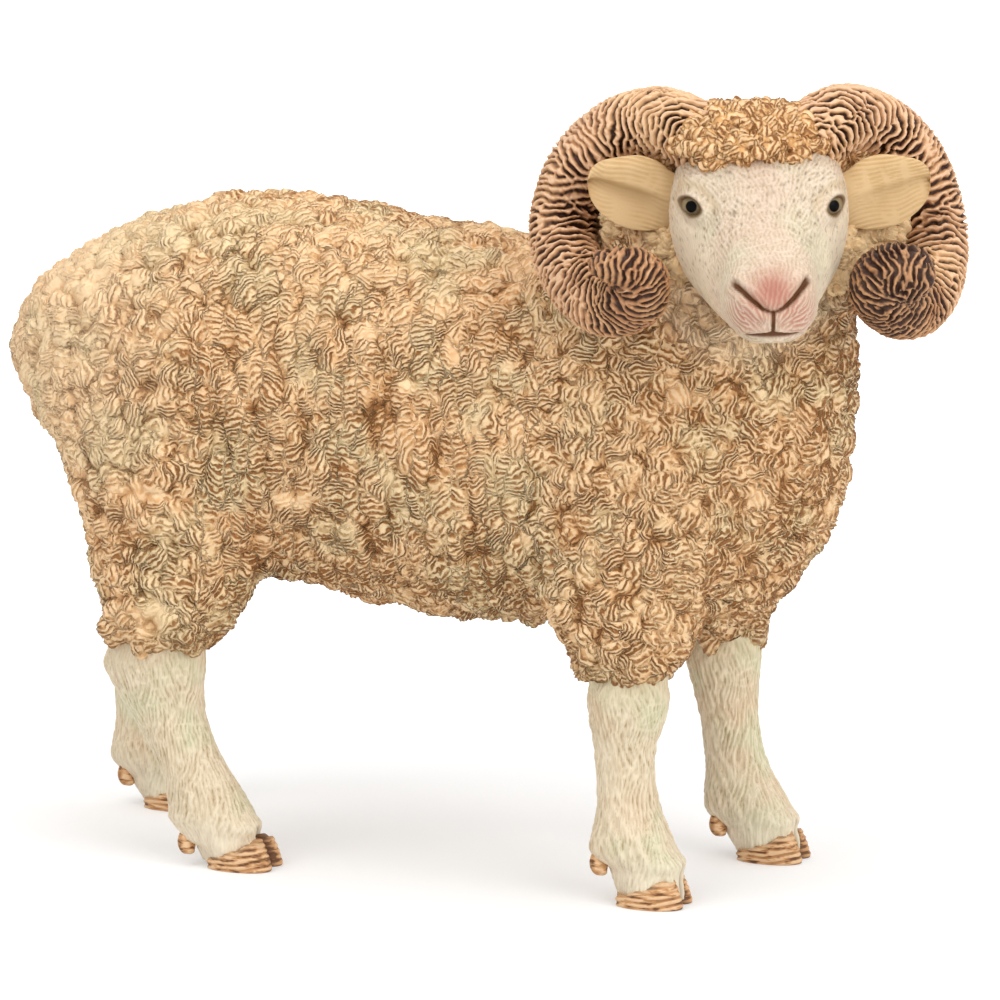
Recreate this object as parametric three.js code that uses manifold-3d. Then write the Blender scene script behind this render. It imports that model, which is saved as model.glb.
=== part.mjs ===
import * as THREE from 'three';
import { mergeVertices } from 'three/addons/utils/BufferGeometryUtils.js';
import Module from 'manifold-3d';

// A moulded and painted ram figure that stands on four hooves with its head turned to its right.
// Millimetres. +X is the way the body faces, +Y is the ram's left and +Z is up.
// The modelling frame has the ground at zero height and the rump at zero X.

const wasm = await Module();
wasm.setup();

// Driving sizes of the fleece
const BODY_LENGTH = 88.2;
const BACK_HEIGHT = 67;
const BODY_WIDTH = 33;
const SEAM_Z = 48.6;
const SEAM_PEG_RADIUS = 4;
const SEAM_PEG_LENGTH = 7;
const NECK_RADIUS = 15;

// Driving sizes of the head
const NECK_REACH = 18.1;
const HEAD_Y = -12;
const HEAD_Z = 69.6;
const HEAD_LENGTH = 23.7;
const HEAD_WIDTH = 17.6;
const HEAD_HEIGHT = 18.2;
const EYE_RADIUS = 1.45;
const EYE_OUT = 6.2;
const EYE_BACK = 0.9;
const KNOT_SEAT = 4.9;
const KNOT_HEIGHT = 5;
const KNOT_WIDTH = 15.6;
const KNOT_DEPTH = 11;
const KNOT_PEG_RADIUS = 1.2;
const KNOT_PEG_LENGTH = 2.2;
const EAR_LENGTH = 8.4;
const EAR_WIDTH = 7;
const EAR_THICKNESS = 1.1;
const EAR_CUP = 0.8;
const EAR_OUT = 8.2;
const EAR_UP = 0.4;
const EAR_BACK = 4.2;
const EAR_PEG_LENGTH = 2.2;
const EAR_PEG_WIDTH = 2.8;
const HORN_SPAN = 18;
const HORN_RADIUS = 3.55;
const HORN_CORE_RADIUS = 1.7;
const HORN_CORE_LENGTH = 3.2;

// Driving sizes of the legs, hooves and tail
const TRACK_WIDTH = 22.4;
const LEG_TOP = 22;
const LEG_WIDTH = 7.6;
const TENON_RADIUS = 2;
const TENON_LENGTH = 6;
const HOOF_LENGTH = 8.8;
const HOOF_WIDTH = 7.4;
const HOOF_HEEL = 1.9;
const HOOF_TOE = 3.7;
const HOOF_PEG_RADIUS = 1.5;
const HOOF_PEG_BACK = 1.4;
const HOOF_FLOOR = 0.9;
const CLEFT_DEPTH = 2.1;
const CLEFT_WIDTH = 1.1;
const CLAW_RADIUS = 1;
const CLAW_SPREAD = 1.9;
const CLAW_PEG_RADIUS = 0.5;
const CLAW_PEG_LENGTH = 1.8;
const TAIL_LENGTH = 10;
const TAIL_WIDTH = 6;
const TAIL_THICKNESS = 3;
const TAIL_HEIGHT = 50.9;
const TAIL_PEG_RADIUS = 1.2;
const TAIL_PEG_LENGTH = 5;

// Clearance round every seated piece, how far a cutting tool runs past what it cuts,
// and the edge of the block that stands for everything on one side of a plane
const CLEARANCE = 0.3;
const OVERRUN = 2;
const BLOCK_EDGE = 260;

// Turns, from degrees
const HEAD_TURN = THREE.MathUtils.degToRad(-67);
const SEAM_TILT = THREE.MathUtils.degToRad(30.5);

// Where the neck seam crosses the middle of the neck and where each hoof stands, from the rump,
// as shares of body length
const SEAM_SHARE = 0.7359;
const FOOT_SHARES = { front_right: 0.8152, front_left: 0.8719, rear_right: 0.3175, rear_left: 0.1225 };

// How high the dewclaws sit on each leg, as shares of leg top
const CLAW_SHARES = { front_right: 0.2, front_left: 0.159, rear_right: 0.1545, rear_left: 0.159 };

// Counts of faces
const BODY_SIDES = 28;
const LIMB_SIDES = 20;
const LEG_SIDES = 14;
const HEAD_SIDES = 20;
const HORN_SIDES = 10;
const HORN_RIBS = 26;
const EAR_SIDES = 12;
const PEG_SIDES = 12;
const EYE_SIDES = 12;
const EYE_BANDS = 8;
const CLAW_SIDES = 8;

// Roundness of a cross section: 2 is an ellipse, more is squarer
const BODY_POWER = 2.25;
const HEAD_POWER = 2.2;
const ROUND_POWER = 2;

// The fleece along the body: place, underside, back and width,
// as shares of body length, back height, back height and body width
const TORSO_SHARES = [
  [0, 0.735, 0.8, 0.2],
  [0.014, 0.695, 0.84, 0.4],
  [0.035, 0.655, 0.875, 0.58],
  [0.07, 0.605, 0.907, 0.74],
  [0.12, 0.53, 0.941, 0.88],
  [0.185, 0.46, 0.976, 0.95],
  [0.26, 0.432, 0.998, 0.98],
  [0.36, 0.424, 1, 0.97],
  [0.47, 0.397, 0.98, 0.97],
  [0.58, 0.383, 0.962, 0.97],
  [0.68, 0.387, 0.935, 0.94],
  [0.77, 0.38, 0.908, 0.87],
  [0.855, 0.385, 0.895, 0.78],
  [0.925, 0.445, 0.905, 0.62],
  [0.972, 0.545, 0.9, 0.42],
  [0.994, 0.645, 0.88, 0.23],
  [1, 0.71, 0.84, 0.12],
];

// Narrowing of the fleece towards the back line, as a share of the width
const EGG_SHARE = 0.07;

// The upper limbs under the fleece, from the wool's lower edge up into the body: height, centre
// along the body, half length, centre off the middle and half width, as shares of back height,
// body length, body length, body width and body width; places along the body are from the rump
const UPPER_LIMB_SHARES = {
  rear_right: [
    [0.328, 0.213, 0.062, 0.33, 0.15],
    [0.385, 0.228, 0.081, 0.325, 0.17],
    [0.445, 0.235, 0.099, 0.31, 0.192],
    [0.52, 0.237, 0.118, 0.29, 0.22],
    [0.62, 0.226, 0.134, 0.27, 0.24],
    [0.74, 0.222, 0.128, 0.23, 0.25],
    [0.84, 0.23, 0.1, 0.18, 0.2],
  ],
  rear_left: [
    [0.328, 0.124, 0.064, 0.33, 0.15],
    [0.385, 0.136, 0.083, 0.325, 0.17],
    [0.445, 0.15, 0.105, 0.31, 0.192],
    [0.52, 0.162, 0.131, 0.29, 0.22],
    [0.62, 0.18, 0.155, 0.27, 0.24],
    [0.74, 0.21, 0.13, 0.23, 0.25],
    [0.84, 0.225, 0.1, 0.18, 0.2],
  ],
  front_right: [
    [0.328, 0.782, 0.048, 0.34, 0.135],
    [0.375, 0.777, 0.067, 0.335, 0.155],
    [0.43, 0.778, 0.09, 0.325, 0.177],
    [0.52, 0.782, 0.112, 0.3, 0.2],
    [0.64, 0.782, 0.126, 0.265, 0.223],
    [0.76, 0.755, 0.115, 0.225, 0.22],
    [0.85, 0.73, 0.08, 0.15, 0.18],
  ],
  front_left: [
    [0.328, 0.805, 0.046, 0.34, 0.13],
    [0.375, 0.803, 0.06, 0.335, 0.152],
    [0.43, 0.8, 0.082, 0.325, 0.175],
    [0.52, 0.797, 0.106, 0.3, 0.2],
    [0.64, 0.787, 0.126, 0.265, 0.223],
    [0.76, 0.757, 0.115, 0.225, 0.22],
    [0.85, 0.73, 0.08, 0.15, 0.18],
  ],
};

// The neck from inside the chest to the back of the head: centre as shares of the way from the
// seam to the head along X, Y and Z, then half width and half depth as shares of the neck radius
const NECK_SHARES = [
  [-0.1, 0, 0.05, 0.95, 1.05],
  [0.22, 0.02, 0.32, 0.92, 0.97],
  [0.52, 0.08, 0.58, 0.88, 0.84],
  [0.77, 0.25, 0.77, 0.9, 0.7],
  [0.875, 0.5, 0.84, 0.93, 0.62],
];

// The head from the poll to the muzzle: place, middle height, half height and half width, as
// shares of head length, head height, head height and head width; places are from the eyes
const HEAD_SHARES = [
  [-0.4, 0, 0.2, 0.2],
  [-0.375, 0, 0.34, 0.34],
  [-0.27, -0.02, 0.46, 0.46],
  [-0.17, -0.05, 0.5, 0.5],
  [-0.06, -0.09, 0.5, 0.47],
  [0.04, -0.15, 0.475, 0.42],
  [0.15, -0.23, 0.425, 0.37],
  [0.25, -0.31, 0.37, 0.325],
  [0.36, -0.37, 0.32, 0.295],
  [0.46, -0.41, 0.27, 0.28],
  [0.54, -0.43, 0.2, 0.235],
  [0.58, -0.44, 0.13, 0.165],
  [0.6, -0.445, 0.06, 0.08],
];

// The wool on the poll: height, middle, half depth and half width, as shares of knot height,
// knot depth, knot depth and knot width
const KNOT_SHARES = [
  [0, -0.3, 0.5, 0.5],
  [0.25, -0.32, 0.52, 0.5],
  [0.5, -0.34, 0.48, 0.46],
  [0.75, -0.36, 0.38, 0.37],
  [0.92, -0.37, 0.24, 0.24],
  [1, -0.38, 0.1, 0.1],
];

// The ear from its root to its tip: outwards, upwards, half width and thickness, as shares of
// ear length, ear width, ear width and ear thickness
const EAR_SHARES = [
  [0, 0, 0.36, 1],
  [0.18, 0.05, 0.47, 1],
  [0.4, 0.09, 0.52, 0.95],
  [0.64, 0.12, 0.47, 0.85],
  [0.84, 0.18, 0.345, 0.76],
  [0.965, 0.24, 0.18, 0.66],
];

// How far the ear's tip leans forward, and over what length from its root its cup deepens,
// both as shares of its length
const EAR_LEAN_SHARE = 0.1;
const EAR_CUP_SHARE = 0.5;

// The middle line of each horn from the poll round the ear to the tip: forwards, outwards and
// upwards, as shares of the horn span
const HORN_PATH_SHARES = {
  right: [
    [-0.25, 0.31, 0.345],
    [-0.33, 0.46, 0.42],
    [-0.43, 0.6, 0.418],
    [-0.52, 0.79, 0.33],
    [-0.57, 0.95, 0.15],
    [-0.57, 1.035, -0.06],
    [-0.48, 1.04, -0.275],
    [-0.31, 0.955, -0.475],
    [-0.12, 0.8, -0.575],
    [0.01, 0.63, -0.535],
    [0.095, 0.55, -0.43],
    [0.14, 0.565, -0.32],
    [0.17, 0.65, -0.255],
    [0.18, 0.77, -0.25],
  ],
  left: [
    [-0.25, 0.29, 0.37],
    [-0.33, 0.41, 0.43],
    [-0.43, 0.55, 0.43],
    [-0.52, 0.72, 0.345],
    [-0.57, 0.86, 0.19],
    [-0.57, 0.955, -0.02],
    [-0.48, 0.99, -0.235],
    [-0.31, 0.94, -0.445],
    [-0.11, 0.8, -0.575],
    [0.02, 0.65, -0.54],
    [0.11, 0.585, -0.425],
    [0.15, 0.62, -0.32],
    [0.18, 0.73, -0.26],
    [0.19, 0.88, -0.27],
  ],
};

// The horn's thickness along its length: place and radius, as shares of its length and radius
const HORN_TAPER_SHARES = [
  [0, 1.08],
  [0.15, 1.03],
  [0.45, 0.97],
  [0.62, 0.88],
  [0.78, 0.72],
  [0.9, 0.6],
  [0.96, 0.46],
  [1, 0.2],
];

// Height of a horn rib above the groove, as a share of the horn radius there
const RIB_SHARE = 0.12;

// Each leg from its top to the coronet: height, middle before its hoof's middle, half depth
// and half width, as shares of leg top, leg top, leg width and leg width
const LEG_SHARES = {
  front_right: [
    [1, -0.114, 0.5, 0.48],
    [0.91, -0.114, 0.52, 0.49],
    [0.82, -0.118, 0.475, 0.46],
    [0.7, -0.128, 0.39, 0.4],
    [0.55, -0.125, 0.375, 0.38],
    [0.41, -0.112, 0.425, 0.41],
    [0.28, -0.082, 0.515, 0.455],
    [0.17, -0.045, 0.55, 0.46],
    [0.04, -0.02, 0.52, 0.44],
  ],
  front_left: [
    [1, -0.243, 0.5, 0.48],
    [0.91, -0.238, 0.49, 0.49],
    [0.8, -0.226, 0.43, 0.46],
    [0.66, -0.21, 0.385, 0.4],
    [0.52, -0.192, 0.395, 0.38],
    [0.41, -0.165, 0.44, 0.41],
    [0.28, -0.122, 0.54, 0.455],
    [0.17, -0.082, 0.59, 0.46],
    [0.04, -0.03, 0.53, 0.44],
  ],
  rear_right: [
    [1, -0.425, 0.66, 0.5],
    [0.91, -0.435, 0.69, 0.5],
    [0.82, -0.415, 0.615, 0.47],
    [0.68, -0.365, 0.51, 0.41],
    [0.54, -0.295, 0.465, 0.39],
    [0.44, -0.24, 0.465, 0.41],
    [0.31, -0.175, 0.53, 0.45],
    [0.19, -0.12, 0.555, 0.46],
    [0.04, -0.06, 0.53, 0.44],
  ],
  rear_left: [
    [1, -0.055, 0.65, 0.5],
    [0.91, -0.075, 0.66, 0.5],
    [0.78, -0.11, 0.57, 0.47],
    [0.64, -0.14, 0.49, 0.41],
    [0.5, -0.155, 0.465, 0.39],
    [0.37, -0.145, 0.5, 0.41],
    [0.26, -0.125, 0.575, 0.45],
    [0.16, -0.088, 0.6, 0.46],
    [0.04, -0.04, 0.53, 0.44],
  ],
};

// The hoof from the sole up: height, half length and half width, as shares of toe height,
// hoof length and hoof width
const HOOF_SHARES = [
  [0, 0.49, 0.48],
  [0.15, 0.5, 0.5],
  [1.1, 0.42, 0.46],
];

// The tail from its root down: height, distance behind the rump, half thickness and half width,
// as shares of tail length, tail thickness, tail thickness and tail width
const TAIL_SHARES = [
  [0.5, -0.85, 0.3, 0.25],
  [0.4, -0.5, 0.45, 0.42],
  [0.2, -0.08, 0.5, 0.5],
  [0, 0.08, 0.5, 0.5],
  [-0.2, 0.06, 0.5, 0.46],
  [-0.4, -0.04, 0.42, 0.36],
  [-0.5, -0.2, 0.25, 0.2],
];

// A closed body through rings of equal counts, with a fan across each end
function loft(rings) {
  const count = rings[0].length;
  const points = rings.flat();
  const index = [];
  for (let ring = 0; ring < rings.length - 1; ring += 1) {
    for (let side = 0; side < count; side += 1) {
      const a = ring * count + side;
      const b = ring * count + ((side + 1) % count);
      index.push(a, b, b + count, a, b + count, a + count);
    }
  }
  const firstCap = points.push(middleOf(rings[0])) - 1;
  const lastCap = points.push(middleOf(rings[rings.length - 1])) - 1;
  const lastStart = (rings.length - 1) * count;
  for (let side = 0; side < count; side += 1) {
    const next = (side + 1) % count;
    index.push(firstCap, next, side);
    index.push(lastCap, lastStart + side, lastStart + next);
  }
  const geometry = new THREE.BufferGeometry().setFromPoints(points);
  geometry.setIndex(index);
  return outward(geometry);
}

// The mean of a ring's points
function middleOf(ring) {
  const middle = new THREE.Vector3();
  for (const point of ring) {
    middle.add(point);
  }
  return middle.divideScalar(ring.length);
}

// Turns a geometry's faces outwards if its volume comes out negative
function outward(geometry) {
  const place = geometry.getAttribute('position');
  const order = geometry.getIndex();
  const [a, b, c] = [new THREE.Vector3(), new THREE.Vector3(), new THREE.Vector3()];
  let volume = 0;
  for (let i = 0; i < order.count; i += 3) {
    a.fromBufferAttribute(place, order.getX(i));
    b.fromBufferAttribute(place, order.getX(i + 1));
    c.fromBufferAttribute(place, order.getX(i + 2));
    volume += a.dot(b.cross(c));
  }
  if (volume < 0) {
    for (let i = 0; i < order.count; i += 3) {
      const second = order.getX(i + 1);
      order.setX(i + 1, order.getX(i + 2));
      order.setX(i + 2, second);
    }
  }
  return geometry;
}

// A ring of points round a middle: x along one direction and y along the other,
// on a superellipse of the given half sizes
function oval(middle, xWay, yWay, halfX, halfY, sides, power) {
  const ring = [];
  for (let side = 0; side < sides; side += 1) {
    const angle = (side / sides) * Math.PI * 2;
    const x = halfX * signedPower(Math.cos(angle), 2 / power);
    const y = halfY * signedPower(Math.sin(angle), 2 / power);
    ring.push(middle.clone().addScaledVector(xWay, x).addScaledVector(yWay, y));
  }
  return ring;
}

// A power that keeps the sign of its base
function signedPower(value, power) {
  return Math.sign(value) * Math.abs(value) ** power;
}

const X_WAY = new THREE.Vector3(1, 0, 0);
const Y_WAY = new THREE.Vector3(0, 1, 0);
const Z_WAY = new THREE.Vector3(0, 0, 1);

// A closed geometry as a solid that can be joined and cut
function solid(geometry) {
  const bare = geometry.clone();
  bare.deleteAttribute('normal');
  bare.deleteAttribute('uv');
  const merged = mergeVertices(bare);
  const vertProperties = new Float32Array(merged.getAttribute('position').array);
  const triVerts = new Uint32Array(merged.getIndex().array);
  return new wasm.Manifold(new wasm.Mesh({ numProp: 3, vertProperties, triVerts }));
}

// A joined or cut solid back as a geometry
function shape(manifold) {
  const mesh = manifold.getMesh();
  const geometry = new THREE.BufferGeometry();
  geometry.setAttribute('position', new THREE.BufferAttribute(mesh.vertProperties, mesh.numProp));
  geometry.setIndex(new THREE.BufferAttribute(mesh.triVerts, 1));
  geometry.computeVertexNormals();
  return geometry;
}

// A round peg from a point along a direction; its bore is the same peg with the clearance
function peg(start, way, radius, length, clearance = 0) {
  const long = length + clearance;
  const geometry = new THREE.CylinderGeometry(radius + clearance, radius + clearance, long, PEG_SIDES);
  geometry.translate(0, long / 2, 0);
  geometry.applyQuaternion(new THREE.Quaternion().setFromUnitVectors(Y_WAY, way));
  geometry.translate(start.x, start.y, start.z);
  return solid(geometry);
}

// Everything on one side of a plane, as a large block with a face on the plane
function halfSpace(point, way) {
  const block = new THREE.BoxGeometry(BLOCK_EDGE, BLOCK_EDGE, BLOCK_EDGE);
  block.translate(0, BLOCK_EDGE / 2, 0);
  block.applyQuaternion(new THREE.Quaternion().setFromUnitVectors(Y_WAY, way));
  block.translate(point.x, point.y, point.z);
  return solid(block);
}

// The barrel of the body from the rump to the breast
function torsoBarrel() {
  const rings = TORSO_SHARES.map(([along, under, back, width]) => {
    const middle = new THREE.Vector3(along * BODY_LENGTH, 0, BACK_HEIGHT * (under + back) / 2);
    const halfHeight = BACK_HEIGHT * (back - under) / 2;
    const halfWidth = BODY_WIDTH * width / 2;
    const ring = oval(middle, Y_WAY, Z_WAY, halfWidth, halfHeight, BODY_SIDES, BODY_POWER);
    for (const point of ring) {
      point.y *= 1 - EGG_SHARE * (point.z - middle.z) / halfHeight;
    }
    return ring;
  });
  return solid(loft(rings));
}

// One upper limb with its wool, on the right for a negative side
function upperLimb(name, side) {
  const rings = UPPER_LIMB_SHARES[name].map(([height, along, halfLong, out, halfWide]) => {
    const y = side * out * BODY_WIDTH;
    const middle = new THREE.Vector3(along * BODY_LENGTH, y, height * BACK_HEIGHT);
    const halfX = halfLong * BODY_LENGTH;
    return oval(middle, X_WAY, Y_WAY, halfX, halfWide * BODY_WIDTH, LIMB_SIDES, BODY_POWER);
  });
  return solid(loft(rings));
}

const seamX = SEAM_SHARE * BODY_LENGTH;
const headX = seamX + NECK_REACH;

// The neck, which bends to the right on its way up to the head
function neckColumn() {
  const middles = NECK_SHARES.map(([x, y, z]) => new THREE.Vector3(
    seamX + x * NECK_REACH,
    y * HEAD_Y,
    SEAM_Z + z * (HEAD_Z - SEAM_Z),
  ));
  const curve = new THREE.CatmullRomCurve3(middles);
  const rings = NECK_SHARES.map(([, , , halfWide, halfDeep], station) => {
    const way = curve.getTangent(station / (NECK_SHARES.length - 1));
    const across = new THREE.Vector3().crossVectors(Z_WAY, way).normalize();
    const deep = new THREE.Vector3().crossVectors(way, across);
    const wide = halfWide * NECK_RADIUS;
    return oval(middles[station], across, deep, wide, halfDeep * NECK_RADIUS, BODY_SIDES, ROUND_POWER);
  });
  return solid(loft(rings));
}

const seamMiddle = new THREE.Vector3(seamX, 0, SEAM_Z);
const seamWay = new THREE.Vector3(Math.cos(SEAM_TILT), 0, Math.sin(SEAM_TILT));
const seamBack = seamWay.clone().negate();

const LIMBS = [
  { name: 'front_right', side: -1 },
  { name: 'front_left', side: 1 },
  { name: 'rear_right', side: -1 },
  { name: 'rear_left', side: 1 },
];

// The whole fleece before it is parted at the neck seam
function wholeFleece() {
  let fleece = torsoBarrel().add(neckColumn());
  for (const limb of LIMBS) {
    fleece = fleece.add(upperLimb(limb.name, limb.side));
  }
  return fleece;
}

// The middle of a hoof's sole
function hoofMiddle(limb) {
  const x = FOOT_SHARES[limb.name] * BODY_LENGTH;
  return new THREE.Vector3(x, limb.side * TRACK_WIDTH / 2, 0);
}

// The middle of a leg's top, where its tenon goes up into the fleece
function legTop(limb) {
  const [, before] = LEG_SHARES[limb.name][0];
  return hoofMiddle(limb).add(new THREE.Vector3(before * LEG_TOP, 0, LEG_TOP));
}

// The body fleece: behind the seam, above the leg tops, with the bores and the tail's pocket
function bodyFleece(fleece) {
  const gap = seamMiddle.clone().addScaledVector(seamBack, CLEARANCE);
  let body = fleece.intersect(halfSpace(gap, seamBack));
  body = body.intersect(halfSpace(new THREE.Vector3(0, 0, LEG_TOP), Z_WAY));
  body = body.subtract(peg(seamMiddle, seamBack, SEAM_PEG_RADIUS, SEAM_PEG_LENGTH, CLEARANCE));
  for (const limb of LIMBS) {
    const bore = peg(legTop(limb).setZ(0), Z_WAY, TENON_RADIUS, LEG_TOP + TENON_LENGTH, CLEARANCE);
    body = body.subtract(bore);
  }
  body = body.subtract(tailSolid(CLEARANCE));
  return body;
}

// The neck and breast fleece: before the seam, hollowed for the head, with its peg
function neckFleece(fleece) {
  let neck = fleece.intersect(halfSpace(seamMiddle, seamWay));
  const root = seamMiddle.clone().addScaledVector(seamWay, SEAM_PEG_LENGTH);
  neck = neck.add(peg(root, seamBack, SEAM_PEG_RADIUS, SEAM_PEG_LENGTH * 2));
  neck = neck.subtract(inHeadPlace(headLoft(CLEARANCE)));
  neck = neck.subtract(inHeadPlace(knotLoft(CLEARANCE)));
  for (const hand of HANDS) {
    neck = neck.subtract(inHeadPlace(hornLoft(hand, CLEARANCE)));
    neck = neck.subtract(inHeadPlace(earLoft(hand, CLEARANCE)));
  }
  return neck;
}

const HANDS = [
  { name: 'right', side: -1 },
  { name: 'left', side: 1 },
];

// The head's own frame: +X to the muzzle, +Y to its left, at the middle between the eyes
const headPlace = new THREE.Group();
headPlace.position.set(headX, HEAD_Y, HEAD_Z);
headPlace.rotation.z = HEAD_TURN;
headPlace.updateMatrix();

// A geometry of the head's frame as a solid of the modelling frame
function inHeadPlace(geometry) {
  return solid(geometry.clone().applyMatrix4(headPlace.matrix));
}

// How far the end rings of a grown loft move outwards along it
function endShift(station, last, grow) {
  if (station === 0) {
    return -grow;
  }
  return station === last ? grow : 0;
}

// The skull and muzzle in one taper
function headLoft(grow = 0) {
  const last = HEAD_SHARES.length - 1;
  const rings = HEAD_SHARES.map(([along, up, halfHigh, halfWide], station) => {
    const x = along * HEAD_LENGTH + endShift(station, last, grow);
    const middle = new THREE.Vector3(x, 0, up * HEAD_HEIGHT);
    const halfY = halfWide * HEAD_WIDTH + grow;
    const halfZ = halfHigh * HEAD_HEIGHT + grow;
    return oval(middle, Y_WAY, Z_WAY, halfY, halfZ, HEAD_SIDES, HEAD_POWER);
  });
  return loft(rings);
}

// The wool on the poll, flat below
function knotLoft(grow = 0) {
  const last = KNOT_SHARES.length - 1;
  const rings = KNOT_SHARES.map(([height, along, halfDeep, halfWide], station) => {
    const z = KNOT_SEAT + height * KNOT_HEIGHT + endShift(station, last, grow);
    const middle = new THREE.Vector3(along * KNOT_DEPTH, 0, z);
    const halfX = halfDeep * KNOT_DEPTH + grow;
    return oval(middle, X_WAY, Y_WAY, halfX, halfWide * KNOT_WIDTH + grow, HEAD_SIDES, ROUND_POWER);
  });
  return loft(rings);
}

// A horn: a core that plugs into the skull, then a ribbed tube on its coiled middle line
function hornLoft(hand, grow = 0) {
  const middles = HORN_PATH_SHARES[hand.name].map(([forward, out, up]) => new THREE.Vector3(
    forward * HORN_SPAN,
    hand.side * out * HORN_SPAN,
    up * HORN_SPAN,
  ));
  const curve = new THREE.CatmullRomCurve3(middles, false, 'centripetal');
  const steps = HORN_RIBS * 2;
  const frames = curve.computeFrenetFrames(steps, false);
  const ringAt = (middle, station, radius) => oval(
    middle, frames.normals[station], frames.binormals[station], radius, radius, HORN_SIDES, ROUND_POWER,
  );
  const root = curve.getPointAt(0);
  const coreEnd = root.clone().addScaledVector(frames.tangents[0], -HORN_CORE_LENGTH - grow);
  const coreTop = root.clone().addScaledVector(frames.tangents[0], -grow);
  const rings = [ringAt(coreEnd, 0, HORN_CORE_RADIUS + grow), ringAt(coreTop, 0, HORN_CORE_RADIUS + grow)];
  for (let step = 0; step <= steps; step += 1) {
    const rib = step % 2 === 0 ? 0 : -RIB_SHARE;
    const radius = HORN_RADIUS * taperAt(step / steps) * (1 + (grow > 0 ? 0 : rib)) + grow;
    const end = step === 0 ? -grow : 0;
    const middle = curve.getPointAt(step / steps).addScaledVector(frames.tangents[step], end);
    rings.push(ringAt(middle, step, radius));
  }
  return loft(rings);
}

// The horn's thickness at a place along it, by straight steps between the named shares
function taperAt(place) {
  const next = HORN_TAPER_SHARES.findIndex(([along]) => along >= place);
  if (next <= 0) {
    return HORN_TAPER_SHARES[0][1];
  }
  const [fromPlace, fromShare] = HORN_TAPER_SHARES[next - 1];
  const [toPlace, toShare] = HORN_TAPER_SHARES[next];
  return THREE.MathUtils.mapLinear(place, fromPlace, toPlace, fromShare, toShare);
}

// An ear: a cupped leaf with its root let into the side of the head
function earLoft(hand, grow = 0) {
  const pegEnd = [-EAR_PEG_LENGTH / EAR_LENGTH, 0, EAR_PEG_WIDTH / 2 / EAR_WIDTH, 1];
  const stations = [pegEnd, ...EAR_SHARES];
  const last = stations.length - 1;
  const rings = stations.map(([out, up, halfWide, thick], station) => {
    const forward = -EAR_BACK + out * EAR_LENGTH * EAR_LEAN_SHARE;
    const outwards = hand.side * (EAR_OUT + out * EAR_LENGTH + endShift(station, last, grow));
    const middle = new THREE.Vector3(forward, outwards, EAR_UP + up * EAR_WIDTH);
    const halfZ = halfWide * EAR_WIDTH + grow;
    const ring = oval(middle, Z_WAY, X_WAY, halfZ, thick * EAR_THICKNESS / 2 + grow, EAR_SIDES, ROUND_POWER);
    const cup = EAR_CUP * THREE.MathUtils.clamp(out / EAR_CUP_SHARE, 0, 1);
    for (const point of ring) {
      const off = (point.z - middle.z) / halfZ;
      point.x -= cup * (1 - off * off);
    }
    return ring;
  });
  return loft(rings);
}

// An eye, set back into the skull
function eyeBall(hand, grow = 0) {
  const ball = new THREE.SphereGeometry(EYE_RADIUS + grow, EYE_SIDES, EYE_BANDS);
  ball.translate(-EYE_BACK, hand.side * EYE_OUT, 0);
  return ball;
}

// The peg that holds the poll wool on the skull
function knotPeg(clearance = 0) {
  const foot = new THREE.Vector3(KNOT_SHARES[0][1] * KNOT_DEPTH, 0, KNOT_SEAT - KNOT_PEG_LENGTH);
  return peg(foot, Z_WAY, KNOT_PEG_RADIUS, KNOT_PEG_LENGTH * 2, clearance);
}

// The head, cut flat under the poll wool, with sockets for the horns, ears and eyes
function headSolid() {
  let head = solid(headLoft()).intersect(halfSpace(new THREE.Vector3(0, 0, KNOT_SEAT), Z_WAY.clone().negate()));
  head = head.add(knotPeg());
  for (const hand of HANDS) {
    head = head.subtract(solid(hornLoft(hand, CLEARANCE)));
    head = head.subtract(solid(earLoft(hand, CLEARANCE)));
    head = head.subtract(solid(eyeBall(hand, CLEARANCE)));
  }
  return head;
}

// The poll wool, bored for its peg and cut clear of the horns
function knotSolid() {
  let knot = solid(knotLoft()).subtract(knotPeg(CLEARANCE));
  for (const hand of HANDS) {
    knot = knot.subtract(solid(hornLoft(hand, CLEARANCE)));
  }
  return knot;
}

// Height of the slanted coronet above a place before or behind the hoof's middle
function coronetHeight(offset) {
  return (HOOF_HEEL + HOOF_TOE) / 2 + (HOOF_TOE - HOOF_HEEL) * offset / HOOF_LENGTH;
}

// Square to the slanted coronet
const coronetWay = new THREE.Vector3(HOOF_HEEL - HOOF_TOE, 0, HOOF_LENGTH).normalize();

// A leg from the wool's edge to the coronet, with a tenon above and a peg into its hoof
function legSolid(limb) {
  const foot = hoofMiddle(limb);
  const rings = LEG_SHARES[limb.name].map(([height, before, halfDeep, halfWide]) => {
    const middle = new THREE.Vector3(foot.x + before * LEG_TOP, foot.y, height * LEG_TOP);
    return oval(middle, X_WAY, Y_WAY, halfDeep * LEG_WIDTH, halfWide * LEG_WIDTH, LEG_SIDES, ROUND_POWER);
  });
  const seat = foot.clone().setZ(coronetHeight(0) + CLEARANCE);
  let leg = solid(loft(rings)).intersect(halfSpace(seat, coronetWay));
  const tenonFoot = legTop(limb).addScaledVector(Z_WAY, -OVERRUN);
  leg = leg.add(peg(tenonFoot, Z_WAY, TENON_RADIUS, TENON_LENGTH + OVERRUN));
  leg = leg.add(hoofPeg(limb));
  for (const place of CLAW_PLACES) {
    leg = leg.subtract(clawSolid(limb, place, CLEARANCE));
  }
  return leg;
}

// The peg that goes down from a leg into its hoof
function hoofPeg(limb, clearance = 0) {
  const foot = hoofMiddle(limb).setZ(HOOF_FLOOR + CLEARANCE - clearance);
  foot.addScaledVector(X_WAY, -HOOF_PEG_BACK);
  return peg(foot, Z_WAY, HOOF_PEG_RADIUS, HOOF_TOE, clearance);
}

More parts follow.
